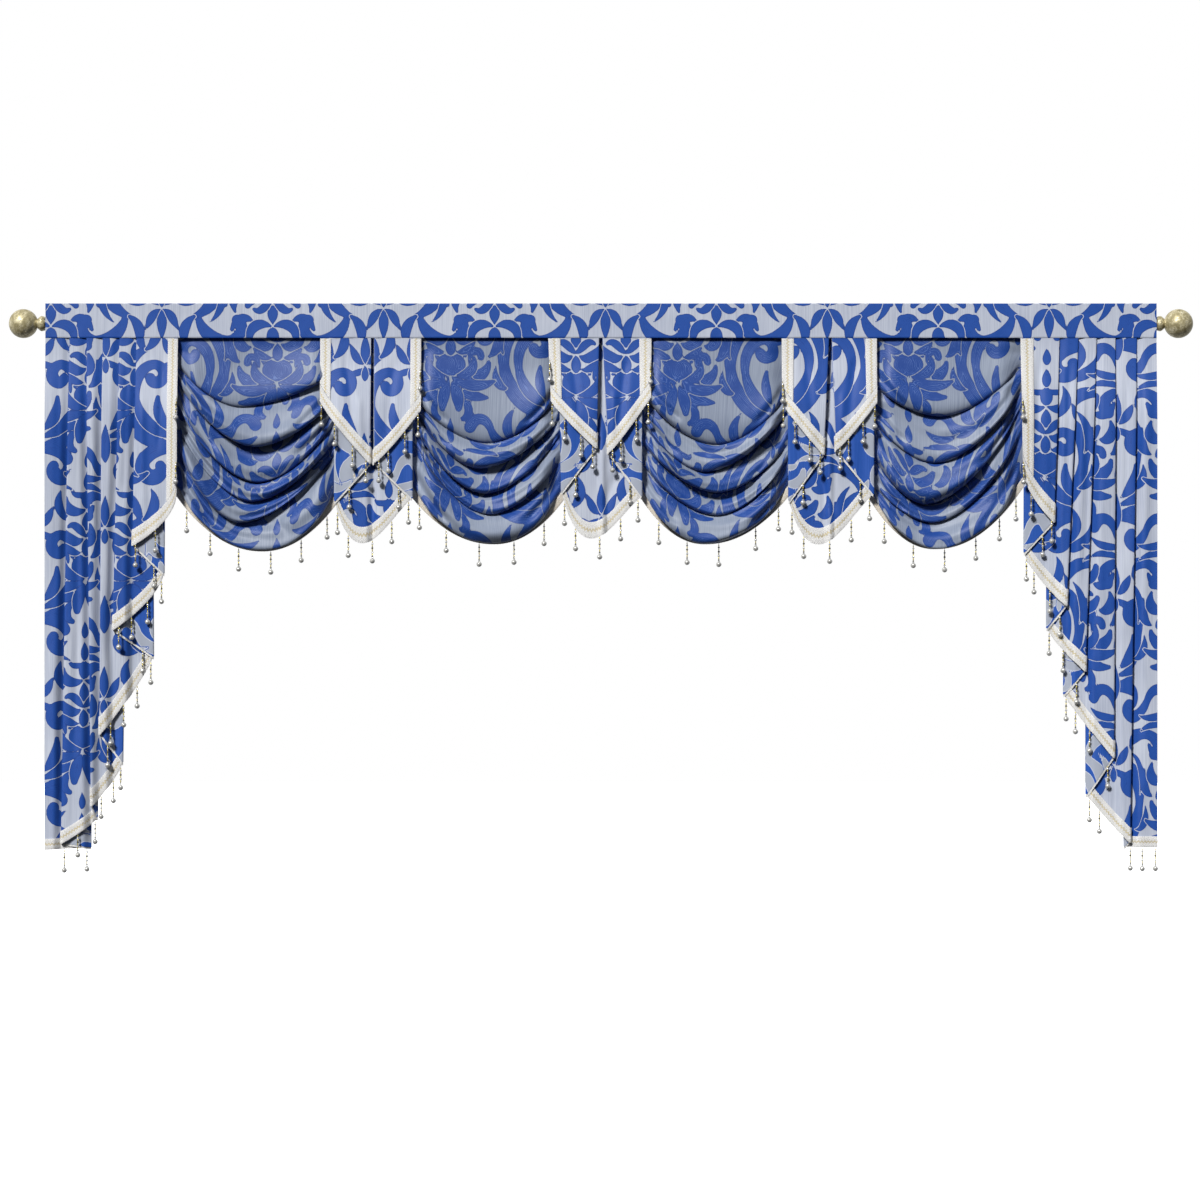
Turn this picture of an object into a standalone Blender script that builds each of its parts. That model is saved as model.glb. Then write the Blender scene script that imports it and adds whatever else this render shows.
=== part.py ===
"""Swag and tail drape on a curtain rod.

A flat heading band with a rod pocket runs along the rod. From its bottom seam
hang four gathered swags, three short double jabots over the joins between
them, and a long pleated tail at each end. A braid with bead drops is sewn
along every free edge. Metres, +Z up, +Y towards the wall, origin on the
rod's axis at mid-length.
"""

import math
from collections import namedtuple

import bmesh
import bpy
from mathutils import Vector

# ---------------------------------------------------------------- driving sizes

DRAPE_WIDTH = 2.490  # the 98 inch valance, edge to edge
BAND_TOP = 0.045  # top of the stand-up header, above the rod's axis
SEAM = -0.034  # bottom seam of the heading band
SEAM_DEPTH = 0.012  # the folded bottom of the band, which all layers hang from

ROD_RADIUS = 0.0125
BALL_RADIUS = 0.0325
BALL_CENTRE = 1.296  # of either finial, from mid-length
COLLAR_RADIUS = 0.017
WAIST_RADIUS = 0.0105
COLLAR_FACE = 1.247  # where either finial meets the rod's end

BAND_CLOTH = 0.0015  # the band's folded jacquard and its turned-in seams
CLOTH = 0.0013  # thickness of the hanging jacquard
BRAID_WIDTH = 0.024
BRAID = 0.0012  # thickness of the braid
GAP = 0.0003  # between pieces that touch
SEAM_GAP = 0.0004  # between the band and the tops of the hanging cloths

DROP_LENGTH = 0.056  # a bead drop, from the braid's edge to the ball's foot
DROP_BALL = 0.006  # radius of its end ball
DROP_BEAD = 0.0016  # radius of the small beads on its thread
DROP_THREAD = 0.0005
BARE_THREAD = -0.012  # where the beads begin, below the root
SWING_FREE = 0.6  # share of a drop's length over which its lean sets in

FRONT = -0.0132  # mid-plane of the front-most layer at the seam
SWAG_BACK = -0.0045  # mid-plane of a swag at the seam
TIGHT_PITCH = 0.0019  # between layers, pressed at the seam
LOOSE_PITCH = 0.0062  # between layers, from LOOSE_BELOW down
LOOSE_BELOW = 0.30
SETTLE = 0.028  # how soon a layer comes forward past the edge of the one before
CLOTH_TOP = SEAM - SEAM_GAP

# The cloths leave the seam's plane as they fall, and have swung out by SWING_BELOW.
SWING_BELOW = 0.20
TAIL_SWING = 0.014  # forward of the seam
TAIL_FLARE = 0.006  # a tail's upright front edge, further forward than its folds
JABOT_SWING = 0.018
SWAG_SWING = 0.007
SWAG_SWING_BELOW = 0.30

BLUE = (0.030, 0.110, 0.450, 1.0)
GREY_BLUE = (0.180, 0.270, 0.560, 1.0)
CREAM = (0.700, 0.670, 0.600, 1.0)
CHAMPAGNE = (0.450, 0.410, 0.290, 1.0)
STEEL = (0.550, 0.540, 0.500, 1.0)

# ---------------------------------------------------------------------- tables

# A pleat's edge, from the seam to its foot; drops are measured down from the seam.
# ease: how the foot of the layer that starts here runs on to the next edge, below
# 1 where it falls away at once.
Edge = namedtuple("Edge", "x_top x_foot drop ease")
# A layer between two edges. rank: how many layers deep it lies; dip: how far its
# foot hangs below the line between its ends.
Layer = namedtuple("Layer", "start end rank dip")
# A valley between two swag folds: its drop where it meets the braid at either
# side and at its lowest point, and the depth of the fold that hangs above it.
Valley = namedtuple("Valley", "left low_x low right depth")
# Where a swag shows between its neighbours' braids, and how far it is tucked
# behind them on either side.
Place = namedtuple("Place", "left right tuck_left tuck_right")

TAIL_LEFT_EDGES = (
    Edge(x_top=-0.948, x_foot=-0.949, drop=0.345, ease=0.50),
    Edge(x_top=-1.041, x_foot=-1.049, drop=0.463, ease=1.00),
    Edge(x_top=-0.974, x_foot=-0.977, drop=0.526, ease=0.65),
    Edge(x_top=-1.079, x_foot=-1.093, drop=0.652, ease=1.00),
    Edge(x_top=-1.005, x_foot=-1.002, drop=0.712, ease=0.85),
    Edge(x_top=-1.117, x_foot=-1.123, drop=0.886, ease=1.00),
    Edge(x_top=-1.059, x_foot=-1.071, drop=0.949, ease=0.75),
    Edge(x_top=-1.153, x_foot=-1.142, drop=1.046, ease=1.00),
    Edge(x_top=-1.113, x_foot=-1.127, drop=1.072, ease=0.75),
    Edge(x_top=-1.191, x_foot=-1.209, drop=1.130, ease=1.00),
    Edge(x_top=-1.140, x_foot=-1.142, drop=1.140, ease=1.00),
    Edge(x_top=-1.245, x_foot=-1.245, drop=1.144, ease=1.00),
)

TAIL_RIGHT_EDGES = (
    Edge(x_top=0.940, x_foot=0.943, drop=0.295, ease=0.60),
    Edge(x_top=1.028, x_foot=1.015, drop=0.411, ease=1.00),
    Edge(x_top=0.947, x_foot=0.946, drop=0.479, ease=0.70),
    Edge(x_top=1.070, x_foot=1.043, drop=0.598, ease=1.00),
    Edge(x_top=0.999, x_foot=0.998, drop=0.649, ease=0.80),
    Edge(x_top=1.111, x_foot=1.085, drop=0.745, ease=1.00),
    Edge(x_top=1.039, x_foot=1.036, drop=0.797, ease=0.90),
    Edge(x_top=1.153, x_foot=1.149, drop=0.938, ease=1.00),
    Edge(x_top=1.085, x_foot=1.086, drop=1.021, ease=0.90),
    Edge(x_top=1.201, x_foot=1.185, drop=1.128, ease=1.00),
    Edge(x_top=1.150, x_foot=1.170, drop=1.138, ease=1.00),
    Edge(x_top=1.245, x_foot=1.245, drop=1.138, ease=1.00),
)

# Each jabot: outer edge, centre tip, side fold, and the same three back again.
JABOT_EDGES = {
    "jabot_1": (
        Edge(x_top=-0.629, x_foot=-0.629, drop=0.139, ease=0.85),
        Edge(x_top=-0.515, x_foot=-0.515, drop=0.280, ease=1.00),
        Edge(x_top=-0.598, x_foot=-0.598, drop=0.365, ease=1.00),
        Edge(x_top=-0.421, x_foot=-0.421, drop=0.358, ease=1.00),
        Edge(x_top=-0.509, x_foot=-0.509, drop=0.278, ease=1.18),
        Edge(x_top=-0.403, x_foot=-0.403, drop=0.161, ease=1.00),
    ),
    "jabot_2": (
        Edge(x_top=-0.118, x_foot=-0.112, drop=0.139, ease=0.85),
        Edge(x_top=-0.004, x_foot=-0.009, drop=0.246, ease=1.00),
        Edge(x_top=-0.095, x_foot=-0.090, drop=0.343, ease=1.00),
        Edge(x_top=0.092, x_foot=0.093, drop=0.354, ease=1.00),
        Edge(x_top=0.003, x_foot=0.015, drop=0.255, ease=1.18),
        Edge(x_top=0.113, x_foot=0.112, drop=0.132, ease=1.00),
    ),
    "jabot_3": (
        Edge(x_top=0.405, x_foot=0.405, drop=0.143, ease=0.85),
        Edge(x_top=0.511, x_foot=0.499, drop=0.260, ease=1.00),
        Edge(x_top=0.417, x_foot=0.419, drop=0.363, ease=1.00),
        Edge(x_top=0.612, x_foot=0.612, drop=0.349, ease=1.00),
        Edge(x_top=0.517, x_foot=0.524, drop=0.249, ease=1.18),
        Edge(x_top=0.618, x_foot=0.618, drop=0.143, ease=1.00),
    ),
}
# How far each centre panel's point hangs below its side folds.
JABOT_POINT = {"jabot_1": 0.095, "jabot_2": 0.100, "jabot_3": 0.102}

# Each swag, from its top valley down; the last row is its hem.
SWAG_PLACES = {
    "swag_1": Place(left=-0.949, right=-0.598, tuck_left=0.034, tuck_right=0.018),
    "swag_2": Place(left=-0.420, right=-0.095, tuck_left=0.018, tuck_right=0.018),
    "swag_3": Place(left=0.092, right=0.417, tuck_left=0.018, tuck_right=0.018),
    "swag_4": Place(left=0.612, right=0.938, tuck_left=0.018, tuck_right=0.034),
}
SWAG_VALLEYS = {
    "swag_1": (
        Valley(left=0.063, low_x=-0.808, low=0.150, right=0.081, depth=0.020),
        Valley(left=0.101, low_x=-0.775, low=0.242, right=0.141, depth=0.028),
        Valley(left=0.157, low_x=-0.768, low=0.322, right=0.190, depth=0.028),
        Valley(left=0.204, low_x=-0.781, low=0.365, right=0.231, depth=0.020),
        Valley(left=0.255, low_x=-0.808, low=0.412, right=0.260, depth=0.020),
        Valley(left=0.358, low_x=-0.759, low=0.477, right=0.376, depth=0.024),
    ),
    "swag_2": (
        Valley(left=0.134, low_x=-0.255, low=0.231, right=0.134, depth=0.026),
        Valley(left=0.157, low_x=-0.271, low=0.291, right=0.184, depth=0.024),
        Valley(left=0.197, low_x=-0.260, low=0.347, right=0.224, depth=0.024),
        Valley(left=0.231, low_x=-0.249, low=0.394, right=0.280, depth=0.022),
        Valley(left=0.361, low_x=-0.240, low=0.461, right=0.376, depth=0.026),
    ),
    "swag_3": (
        Valley(left=0.125, low_x=0.260, low=0.235, right=0.132, depth=0.026),
        Valley(left=0.186, low_x=0.233, low=0.298, right=0.170, depth=0.024),
        Valley(left=0.235, low_x=0.260, low=0.345, right=0.240, depth=0.024),
        Valley(left=0.282, low_x=0.260, low=0.396, right=0.275, depth=0.022),
        Valley(left=0.361, low_x=0.233, low=0.461, right=0.358, depth=0.026),
    ),
    "swag_4": (
        Valley(left=0.107, low_x=0.759, low=0.172, right=0.069, depth=0.020),
        Valley(left=0.186, low_x=0.748, low=0.278, right=0.125, depth=0.028),
        Valley(left=0.266, low_x=0.725, low=0.370, right=0.168, depth=0.028),
        Valley(left=0.329, low_x=0.742, low=0.412, right=0.227, depth=0.020),
        Valley(left=0.374, low_x=0.748, low=0.472, right=0.347, depth=0.024),
    ),
}
SWAG_COLUMNS = 11
FOLD_STEPS = (0.0, 0.30, 0.60, 0.82)  # where a fold's profile bends, from its valley down
HEM_STEPS = (0.0, 0.30, 0.52, 0.66, 1.0)  # the last two bound the braid
OVERHANG = 1.25  # how far a fold's belly rolls down over the valley below it
HEM_OVERHANG = 0.8
FOLD_CURVE = 2.1  # power of the curves the valleys hang in; 2 is a parabola
FIRST_FOLD_LAG = 1.8  # keeps the flat upper part of a swag flat, its belly low

# Bead drops: along a swag's hem by place, along pleats by a share of each layer.
SWAG_DROPS = {
    "swag_1": (-0.929, -0.876, -0.812, -0.740, -0.672, -0.615),
    "swag_2": (-0.407, -0.347, -0.273, -0.195, -0.128),
    "swag_3": (0.130, 0.193, 0.264, 0.347, 0.398),
    "swag_4": (0.636, 0.700, 0.770, 0.840, 0.893, 0.931),
}
SIDE_DROPS = (0.128, 0.272)  # down a tail's upright edge
# A row for each layer of a pleated cloth, from its start to its end.
TAIL_DROPS = {
    "tail_left": (
        (0.49, 0.95),
        (0.69,),
        (0.04, 0.33, 0.66, 0.90),
        (0.74,),
        (0.04, 0.31, 0.56, 0.82),
        (0.35,),
        (0.05, 0.30, 0.70),
        (),
        (0.06, 0.53),
        (),
        (0.08, 0.57),
    ),
    "tail_right": (
        (0.26, 0.94),
        (0.37,),
        (0.04, 0.22, 0.61),
        (0.34,),
        (0.05, 0.41),
        (0.40,),
        (0.04, 0.22, 0.52),
        (0.20,),
        (0.07, 0.29),
        (),
        (0.18, 0.52, 0.93),
    ),
}
JABOT_DROPS = (
    (0.03, 0.30, 0.66, 0.93),
    (0.59,),
    (0.03, 0.17, 0.48, 0.74, 0.96),
    (0.35,),
    (0.09, 0.30, 0.66, 0.94),
)

POINT_AT = 0.36  # where a centre panel's point hangs, across the panel
POINT_SHARES = (0.12, 0.24, 0.36, 0.52, 0.68, 0.85)  # the panel's bends around it
POINT_SHARPNESS = 1.15
CLOSEST_BENDS = 0.115  # between two bends of a layer, as a share of its width
ROWS = (0.0, 0.14, 0.34, 0.60, 1.0)  # of a pleated cloth, above its braid
BRAID_ROW = len(ROWS) - 1
STEEPEST_BRAID = 1.6  # slope past which a braid's upright height no longer grows

EDGE_INSET = 0.06  # of a drop's root from the braid's edge, as a share of a face
DROP_LEAN = 0.001  # how far a drop's foot hangs forward of its root
TURNED_LEAN = 0.004  # and on a turned-back layer, from under its edge
SIDE_CLEARANCE = 0.0025  # between the ball of a drop on an upright edge and the cloth


# --------------------------------------------------------------------- helpers


def mix(a, b, t):
    return a + (b - a) * t


def smooth(t):
    t = min(max(t, 0.0), 1.0)
    return t * t * (3.0 - 2.0 * t)


def clear_scene():
    for obj in list(bpy.data.objects):
        bpy.data.objects.remove(obj, do_unlink=True)


def new_collection(name):
    collection = bpy.data.collections.new(name)
    bpy.context.scene.collection.children.link(collection)
    return collection


def finish(name, colour, roughness, metallic):
    material = bpy.data.materials.new(name)
    material.use_nodes = True
    shader = material.node_tree.nodes["Principled BSDF"]
    shader.inputs["Base Color"].default_value = colour
    shader.inputs["Roughness"].default_value = roughness
    shader.inputs["Metallic"].default_value = metallic
    return material


def add_object(name, data, material, collection):
    obj = bpy.data.objects.new(name, data)
    data.materials.append(material)
    collection.objects.link(obj)
    return obj


def mesh_of_rings(name, rings, keep=None, flip=False):
    """A sheet through rings of points, of which keep(column, row) picks the faces."""
    bm = bmesh.new()
    grid = [[bm.verts.new(point) for point in ring] for ring in rings]
    for c in range(len(grid) - 1):
        for r in range(len(grid[c]) - 1):
            if keep and not keep(c, r):
                continue
            near, far = grid[c], grid[c + 1]
            for face in (
                (near[r], near[r + 1], far[r]),
                (near[r + 1], far[r + 1], far[r]),
            ):
                bm.faces.new(face[::-1] if flip else face)
    bmesh.ops.delete(bm, geom=[v for v in bm.verts if not v.link_faces], context="VERTS")
    mesh = bpy.data.meshes.new(name)
    bm.to_mesh(mesh)
    bm.free()
    mesh.shade_smooth()
    return mesh


def solidify(obj, thickness, lift=0.0):
    """Thickens a sheet: about its middle, or from lift in front of its face."""
    shell = obj.modifiers.new("cloth", "SOLIDIFY")
    shell.thickness = thickness
    shell.offset = 1.0 + 2.0 * lift / thickness if lift else 0.0
    shell.use_even_offset = True
    shell.use_quality_normals = True


# ---------------------------------------------------------------- rod, finials


def build_rod(collection):
    curve = bpy.data.curves.new("rod", "CURVE")
    curve.dimensions = "3D"
    curve.bevel_depth = ROD_RADIUS
    curve.bevel_resolution = 5
    curve.use_fill_caps = True
    spline = curve.splines.new("POLY")
    spline.points.add(1)
    for point, side in zip(spline.points, (-1, 1)):
        point.co = (side * (COLLAR_FACE - GAP), 0.0, 0.0, 1.0)
    add_object("rod", curve, finish("satin_steel", STEEL, 0.35, 1.0), collection)


def finial_profile():
    """Radius and height down the outer side, from the ball's pole to the collar's face."""
    waist = math.acos(WAIST_RADIUS / BALL_RADIUS)
    steps = 7
    profile = [(0.0, BALL_RADIUS)]
    for i in range(1, steps + 1):
        angle = mix(math.pi / 2, -waist, i / steps)
        profile.append((BALL_RADIUS * math.cos(angle), BALL_RADIUS * math.sin(angle)))
    top = profile[-1][1]
    foot = COLLAR_FACE - BALL_CENTRE
    # The collar swells from the waist to its full radius and in a little to its face.
    for swell, share in ((0.30, 0.10), (0.75, 0.25), (1.0, 0.55), (0.75, 1.0)):
        radius = mix(WAIST_RADIUS, COLLAR_RADIUS, swell)
        profile.append((radius, mix(top, foot, share)))
    return profile + [(0.0, foot)]


def build_finials(collection):
    for name, side in (("finial_left", -1), ("finial_right", 1)):
        bm = bmesh.new()
        points = [bm.verts.new((r, 0.0, h)) for r, h in finial_profile()]
        for upper, lower in zip(points, points[1:]):
            bm.edges.new((upper, lower))
        mesh = bpy.data.meshes.new(name)
        bm.to_mesh(mesh)
        bm.free()
        material = finish(name + "_crackle", CHAMPAGNE, 0.45, 0.6)
        obj = add_object(name, mesh, material, collection)
        screw = obj.modifiers.new("turn", "SCREW")
        screw.steps = screw.render_steps = 14
        screw.use_merge_vertices = True
        screw.merge_threshold = 0.00005
        obj.location = (side * BALL_CENTRE, 0.0, 0.0)
        obj.rotation_euler = (0.0, side * math.pi / 2, 0.0)


# --------------------------------------------------------------------- heading


def pocket_outline(radius, front, floor, back_foot):
    """Up the front, over the rod and down the back to the seam, as (y, z)."""
    points = [(front, floor), (front, 0.0)]
    turns = 8
    for i in range(1, turns + 1):
        angle = mix(math.pi, 0.0, i / turns)
        points.append((radius * math.cos(angle), radius * math.sin(angle)))
    # The slack back falls straight from the rod, then in to the seam.
    start, pull, end = (radius, 0.0), (radius, 0.55 * floor), (back_foot, floor)
    bends = 4
    for i in range(1, bends + 1):
        t = i / bends
        weights = ((1 - t) ** 2, 2 * t * (1 - t), t * t)
        points.append(
            tuple(
                sum(weight * place[axis] for weight, place in zip(weights, (start, pull, end)))
                for axis in (0, 1)
            )
        )
    return points


def build_heading(collection):
    inner_radius = ROD_RADIUS + GAP
    front = -inner_radius - 2 * GAP - BAND_CLOTH
    header_back = front + 2 * BAND_CLOTH + GAP
    inside = pocket_outline(
        inner_radius,
        front + BAND_CLOTH,
        SEAM + BAND_CLOTH,
        front + SEAM_DEPTH - BAND_CLOTH,
    )
    outer_radius = inner_radius + BAND_CLOTH
    outside = pocket_outline(outer_radius, front, SEAM, front + SEAM_DEPTH)
    # The stand-up header: the front face runs on to the top, and the back comes
    # down behind it to the pocket.
    over_rod = [(y, z) for y, z in outside[2:] if y > header_back]
    joint = math.sqrt(outer_radius**2 - header_back**2)
    header = [(front, BAND_TOP), (header_back, BAND_TOP), (header_back, joint)]
    outline = [outside[0]] + header + over_rod

    curve = bpy.data.curves.new("heading", "CURVE")
    curve.dimensions = "2D"
    curve.fill_mode = "BOTH"
    curve.extrude = DRAPE_WIDTH / 2
    for points in (outline, inside):
        spline = curve.splines.new("POLY")
        spline.points.add(len(points) - 1)
        spline.use_cyclic_u = True
        for point, (y, z) in zip(spline.points, points):
            point.co = (y, z, 0.0, 1.0)
    material = finish("heading_jacquard", GREY_BLUE, 0.6, 0.0)
    obj = add_object("heading", curve, material, collection)
    obj.rotation_euler = (math.pi / 2, 0.0, math.pi / 2)


# --------------------------------------------------- pleated cloth: tails, jabots


def pitch(drop):
    return mix(TIGHT_PITCH, LOOSE_PITCH, smooth(drop / LOOSE_BELOW))


class Pleated:
    """Cloth folded into layers that lie one behind another."""

    def __init__(self, edges, layers, swing, flare, upright_end):
        self.edges = edges
        self.layers = layers
        self.swing = swing
        self.flare = flare
        self.upright_end = upright_end
        self.side = 1 if edges[-1].x_top > edges[0].x_top else -1
        self.fold_up()

    def edge_x(self, index, drop):
        edge = self.edges[index]
        return mix(edge.x_top, edge.x_foot, min(drop / edge.drop, 1.0))

    def is_fold(self, index):
        return 0 < index < len(self.edges) - 1

    def cover(self, layer, x, drop):
        """1 where this layer lies in front, falling to 0 just past its edges."""
        ends = sorted(self.edge_x(i, drop) for i in (layer.start, layer.end))
        outside = max(ends[0] - x, x - ends[1], 0.0)
        return 1.0 - smooth(outside / SETTLE)

    def depth(self, layer, x, drop):
        before = sum(
            self.cover(other, x, drop)
            for other in self.layers
            if other.rank < layer.rank
        )
        swing = self.swing * smooth(drop / SWING_BELOW)
        return FRONT - swing + pitch(drop) * before

    def layer_width(self, layer):
        return abs(self.edges[layer.end].x_foot - self.edges[layer.start].x_foot)

    def foot(self, layer, share):
        start, end = self.edges[layer.start], self.edges[layer.end]
        straight = mix(start.drop, end.drop, share**start.ease)
        turn = share ** (math.log(0.5) / math.log(POINT_AT))
        return straight + layer.dip * math.sin(math.pi * turn) ** POINT_SHARPNESS

    def rise(self, layer):
        """Height of the braid, measured upright, along this layer's slanted foot."""
        start, end = self.edges[layer.start], self.edges[layer.end]
        slope = abs(end.drop - start.drop) / self.layer_width(layer)
        slope += 2.0 * layer.dip / self.layer_width(layer)
        return BRAID_WIDTH * math.sqrt(1.0 + min(slope, STEEPEST_BRAID) ** 2)

    def point(self, layer, share, drop):
        """A place on a layer, whose ends stop short of its folds by half their pitch."""
        towards = self.edges[layer.end].x_top - self.edges[layer.start].x_top
        ends = []
        for index, inward in ((layer.start, 1), (layer.end, -1)):
            bend = pitch(drop) / 2 if self.is_fold(index) else 0.0
            ends.append(self.edge_x(index, drop) + math.copysign(bend, towards) * inward)
        x = mix(ends[0], ends[1], share)
        y = self.depth(layer, x, drop)
        if layer.rank == 0:
            free = 1.0 - share if layer.start == 0 else share
            y -= self.flare * smooth(drop / SWING_BELOW) * free**1.5
        return Vector((x, y, CLOTH_TOP - drop))

    def drops_of(self, foot, rise):
        return [share * (foot - rise) for share in ROWS] + [foot]

    def layer_ring(self, layer, share):
        rows = self.drops_of(self.foot(layer, share), self.rise(layer))
        return [self.point(layer, share, drop) for drop in rows]

    def fold_ring(self, index, before, after):
        rise = (self.rise(before) + self.rise(after)) / 2
        ring = []
        for drop in self.drops_of(self.edges[index].drop, rise):
            at = self.point(before, 1.0, drop).lerp(self.point(after, 0.0, drop), 0.5)
            ring.append(Vector((self.edge_x(index, drop), at.y, at.z)))
        return ring

    def shares(self, layer):
        """Where a layer bends, across its width.

        That is at its ends and its upright braid, round its point, and where the
        layers before it begin and cease to cover it.
        """
        start, end = self.edges[layer.start], self.edges[layer.end]
        braid = BRAID_WIDTH / self.layer_width(layer)
        bends = [0.0, 1.0]
        if layer.start == 0:
            bends.append(braid)
        if self.upright_end and layer.end == len(self.edges) - 1:
            bends.append(1.0 - braid)
        more = list(POINT_SHARES) if layer.dip else []
        for other in self.layers:
            if other.rank >= layer.rank:
                continue
            for index in (other.start, other.end):
                tip = self.edges[index].x_foot
                for x in (tip, tip - SETTLE, tip + SETTLE):
                    if self.cover(other, x, math.inf) in (0.0, 1.0):
                        more.append((x - start.x_foot) / (end.x_foot - start.x_foot))
        for share in sorted(more):
            clear = all(abs(share - old) > CLOSEST_BENDS for old in bends)
            if 0.0 < share < 1.0 and clear:
                bends.append(share)
        return sorted(bends)

    def fold_up(self):
        """The rings of points across the cloth, and the layer and share of each."""
        self.rings, self.tags = [], []
        for number, layer in enumerate(self.layers):
            for share in self.shares(layer):
                self.rings.append(self.layer_ring(layer, share))
                self.tags.append((number, share))
            if number + 1 < len(self.layers):
                after = self.layers[number + 1]
                self.rings.append(self.fold_ring(layer.end, layer, after))
                self.tags.append((None, None))

    def column_at(self, number, share):
        """The fractional column of a place on this layer."""
        for column, (tag, low) in enumerate(self.tags[:-1]):
            after, high = self.tags[column + 1]
            if tag == after == number and low <= share <= high:
                return column + (share - low) / (high - low)
        return None


def tail_layers(edges):
    """Each layer lies behind the one before it."""
    return [Layer(start=i, end=i + 1, rank=i, dip=0.0) for i in range(len(edges) - 1)]


def jabot_layers(point):
    """Two folded flaps in front of a centre panel, which hangs down to a point."""
    ranks = (0, 1, 2, 1, 0)
    return [
        Layer(start=i, end=i + 1, rank=rank, dip=point if rank == 2 else 0.0)
        for i, rank in enumerate(ranks)
    ]


# ------------------------------------------------------------------ bead drops


def bead_drop_mesh():
    """One drop as a four-sided turned shape: thread, small beads and end ball."""
    root = BRAID / 6  # inside the braid, and short of the cloth behind it
    centre = -DROP_LENGTH + DROP_BALL
    profile = (
        (0.0, root),
        (DROP_THREAD, root),
        (DROP_THREAD, BARE_THREAD),
        (DROP_BEAD, BARE_THREAD - 2 * DROP_BEAD),
        (DROP_BEAD, centre + DROP_BALL),
        (DROP_BALL, centre),
        (0.0, -DROP_LENGTH),
    )
    bm = bmesh.new()
    points = [bm.verts.new((r, 0.0, z)) for r, z in profile]
    for upper, lower in zip(points, points[1:]):
        bm.edges.new((upper, lower))
    mesh = bpy.data.meshes.new("bead_drop_profile")
    bm.to_mesh(mesh)
    bm.free()
    helper = bpy.data.objects.new("bead_drop", mesh)
    bpy.context.scene.collection.objects.link(helper)
    screw = helper.modifiers.new("turn", "SCREW")
    screw.steps = screw.render_steps = 4
    screw.use_merge_vertices = True
    screw.merge_threshold = 0.00005
    graph = bpy.context.evaluated_depsgraph_get()
    turned = bpy.data.meshes.new_from_object(helper.evaluated_get(graph))
    bpy.data.objects.remove(helper, do_unlink=True)
    return turned


def add_drops(braid, places, drop, helpers):
    """Fuses a bead drop to the braid at each (root, lean), where lean shifts its foot."""
    bm = bmesh.new()
    for root, lean in places:
        first = len(bm.verts)
        bm.from_mesh(drop)
        bm.verts.ensure_lookup_table()
        for vert in bm.verts[first:]:
            share = smooth(-vert.co.z / (SWING_FREE * DROP_LENGTH))
            vert.co += root + lean * share
    mesh = bpy.data.meshes.new(braid.name + "_drops")
    bm.to_mesh(mesh)
    bm.free()
    strands = bpy.data.objects.new(mesh.name, mesh)
    strands.hide_render = True
    strands.display_type = "WIRE"
    helpers.objects.link(strands)
    union = braid.modifiers.new("bead drops", "BOOLEAN")
    union.operation = "UNION"
    union.solver = "EXACT"
    union.object = strands


def build_braid(name, rings, keep, flip, places, drop, parts, helpers):
    mesh = mesh_of_rings(name, rings, keep, flip)
    braid = add_object(name, mesh, finish(name + "_woven", CREAM, 0.55, 0.2), parts)
    solidify(braid, BRAID, lift=CLOTH / 2 + GAP)
    add_drops(braid, places, drop, helpers)


def braid_root(rings, column, row, flip):
    """The middle of the braid's thickness over the sheet's face, at a fractional column and row."""
    c = min(int(column), len(rings) - 2)
    r = min(int(row), len(rings[0]) - 2)
    across, down = column - c, row - r
    left = rings[c][r].lerp(rings[c][r + 1], down)
    right = rings[c + 1][r].lerp(rings[c + 1][r + 1], down)
    top = rings[c][r].lerp(rings[c + 1][r], across)
    foot = rings[c][r + 1].lerp(rings[c + 1][r + 1], across)
    face = (foot - top).cross(right - left).normalized()
    lift = CLOTH / 2 + GAP + BRAID / 2
    return left.lerp(right, across) + face * (-lift if flip else lift)


def row_at(ring, drop):
    """The fractional row of a ring of points at this drop from the seam."""
    level = CLOTH_TOP - drop
    for row, (upper, lower) in enumerate(zip(ring, ring[1:])):
        if lower.z <= level:
            return row + (upper.z - level) / (upper.z - lower.z)
    return len(ring) - 1.0


def pleat_drops(cloth, shares):
    """Drops along the slanted foot of each layer."""
    places = []
    flip = cloth.side < 0
    for number, layer in enumerate(cloth.layers):
        lean = Vector((0.0, -TURNED_LEAN if layer.rank % 2 else -DROP_LEAN, 0.0))
        for share in shares[number]:
            column = cloth.column_at(number, share)
            row = BRAID_ROW + 1 - EDGE_INSET
            places.append((braid_root(cloth.rings, column, row, flip), lean))
    return places


def side_drops(cloth, heights):
    """Drops along the upright edge, which hang just in front of the braid."""
    places = []
    edge = cloth.rings[0]
    flip = cloth.side < 0
    for height in heights:
        root, foot = (
            braid_root(cloth.rings, EDGE_INSET, row_at(edge, drop), flip)
            for drop in (height, height + DROP_LENGTH)
        )
        forward = DROP_BALL + SIDE_CLEARANCE
        places.append((root, Vector((0.0, foot.y - root.y - forward, 0.0))))
    return places


# ------------------------------------------------------------- tails and jabots


def build_pleated(name, cloth, border, places, drop, parts, helpers):
    """The cloth, and its braid along the foot and down the columns in border."""
    flip = cloth.side < 0
    mesh = mesh_of_rings(name, cloth.rings, flip=flip)
    material = finish(name + "_jacquard", BLUE, 0.6, 0.0)
    solidify(add_object(name, mesh, material, parts), CLOTH)

    def keep(column, row):
        return row == BRAID_ROW or column in border

    build_braid("trim_" + name, cloth.rings, keep, flip, places, drop, parts, helpers)


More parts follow.
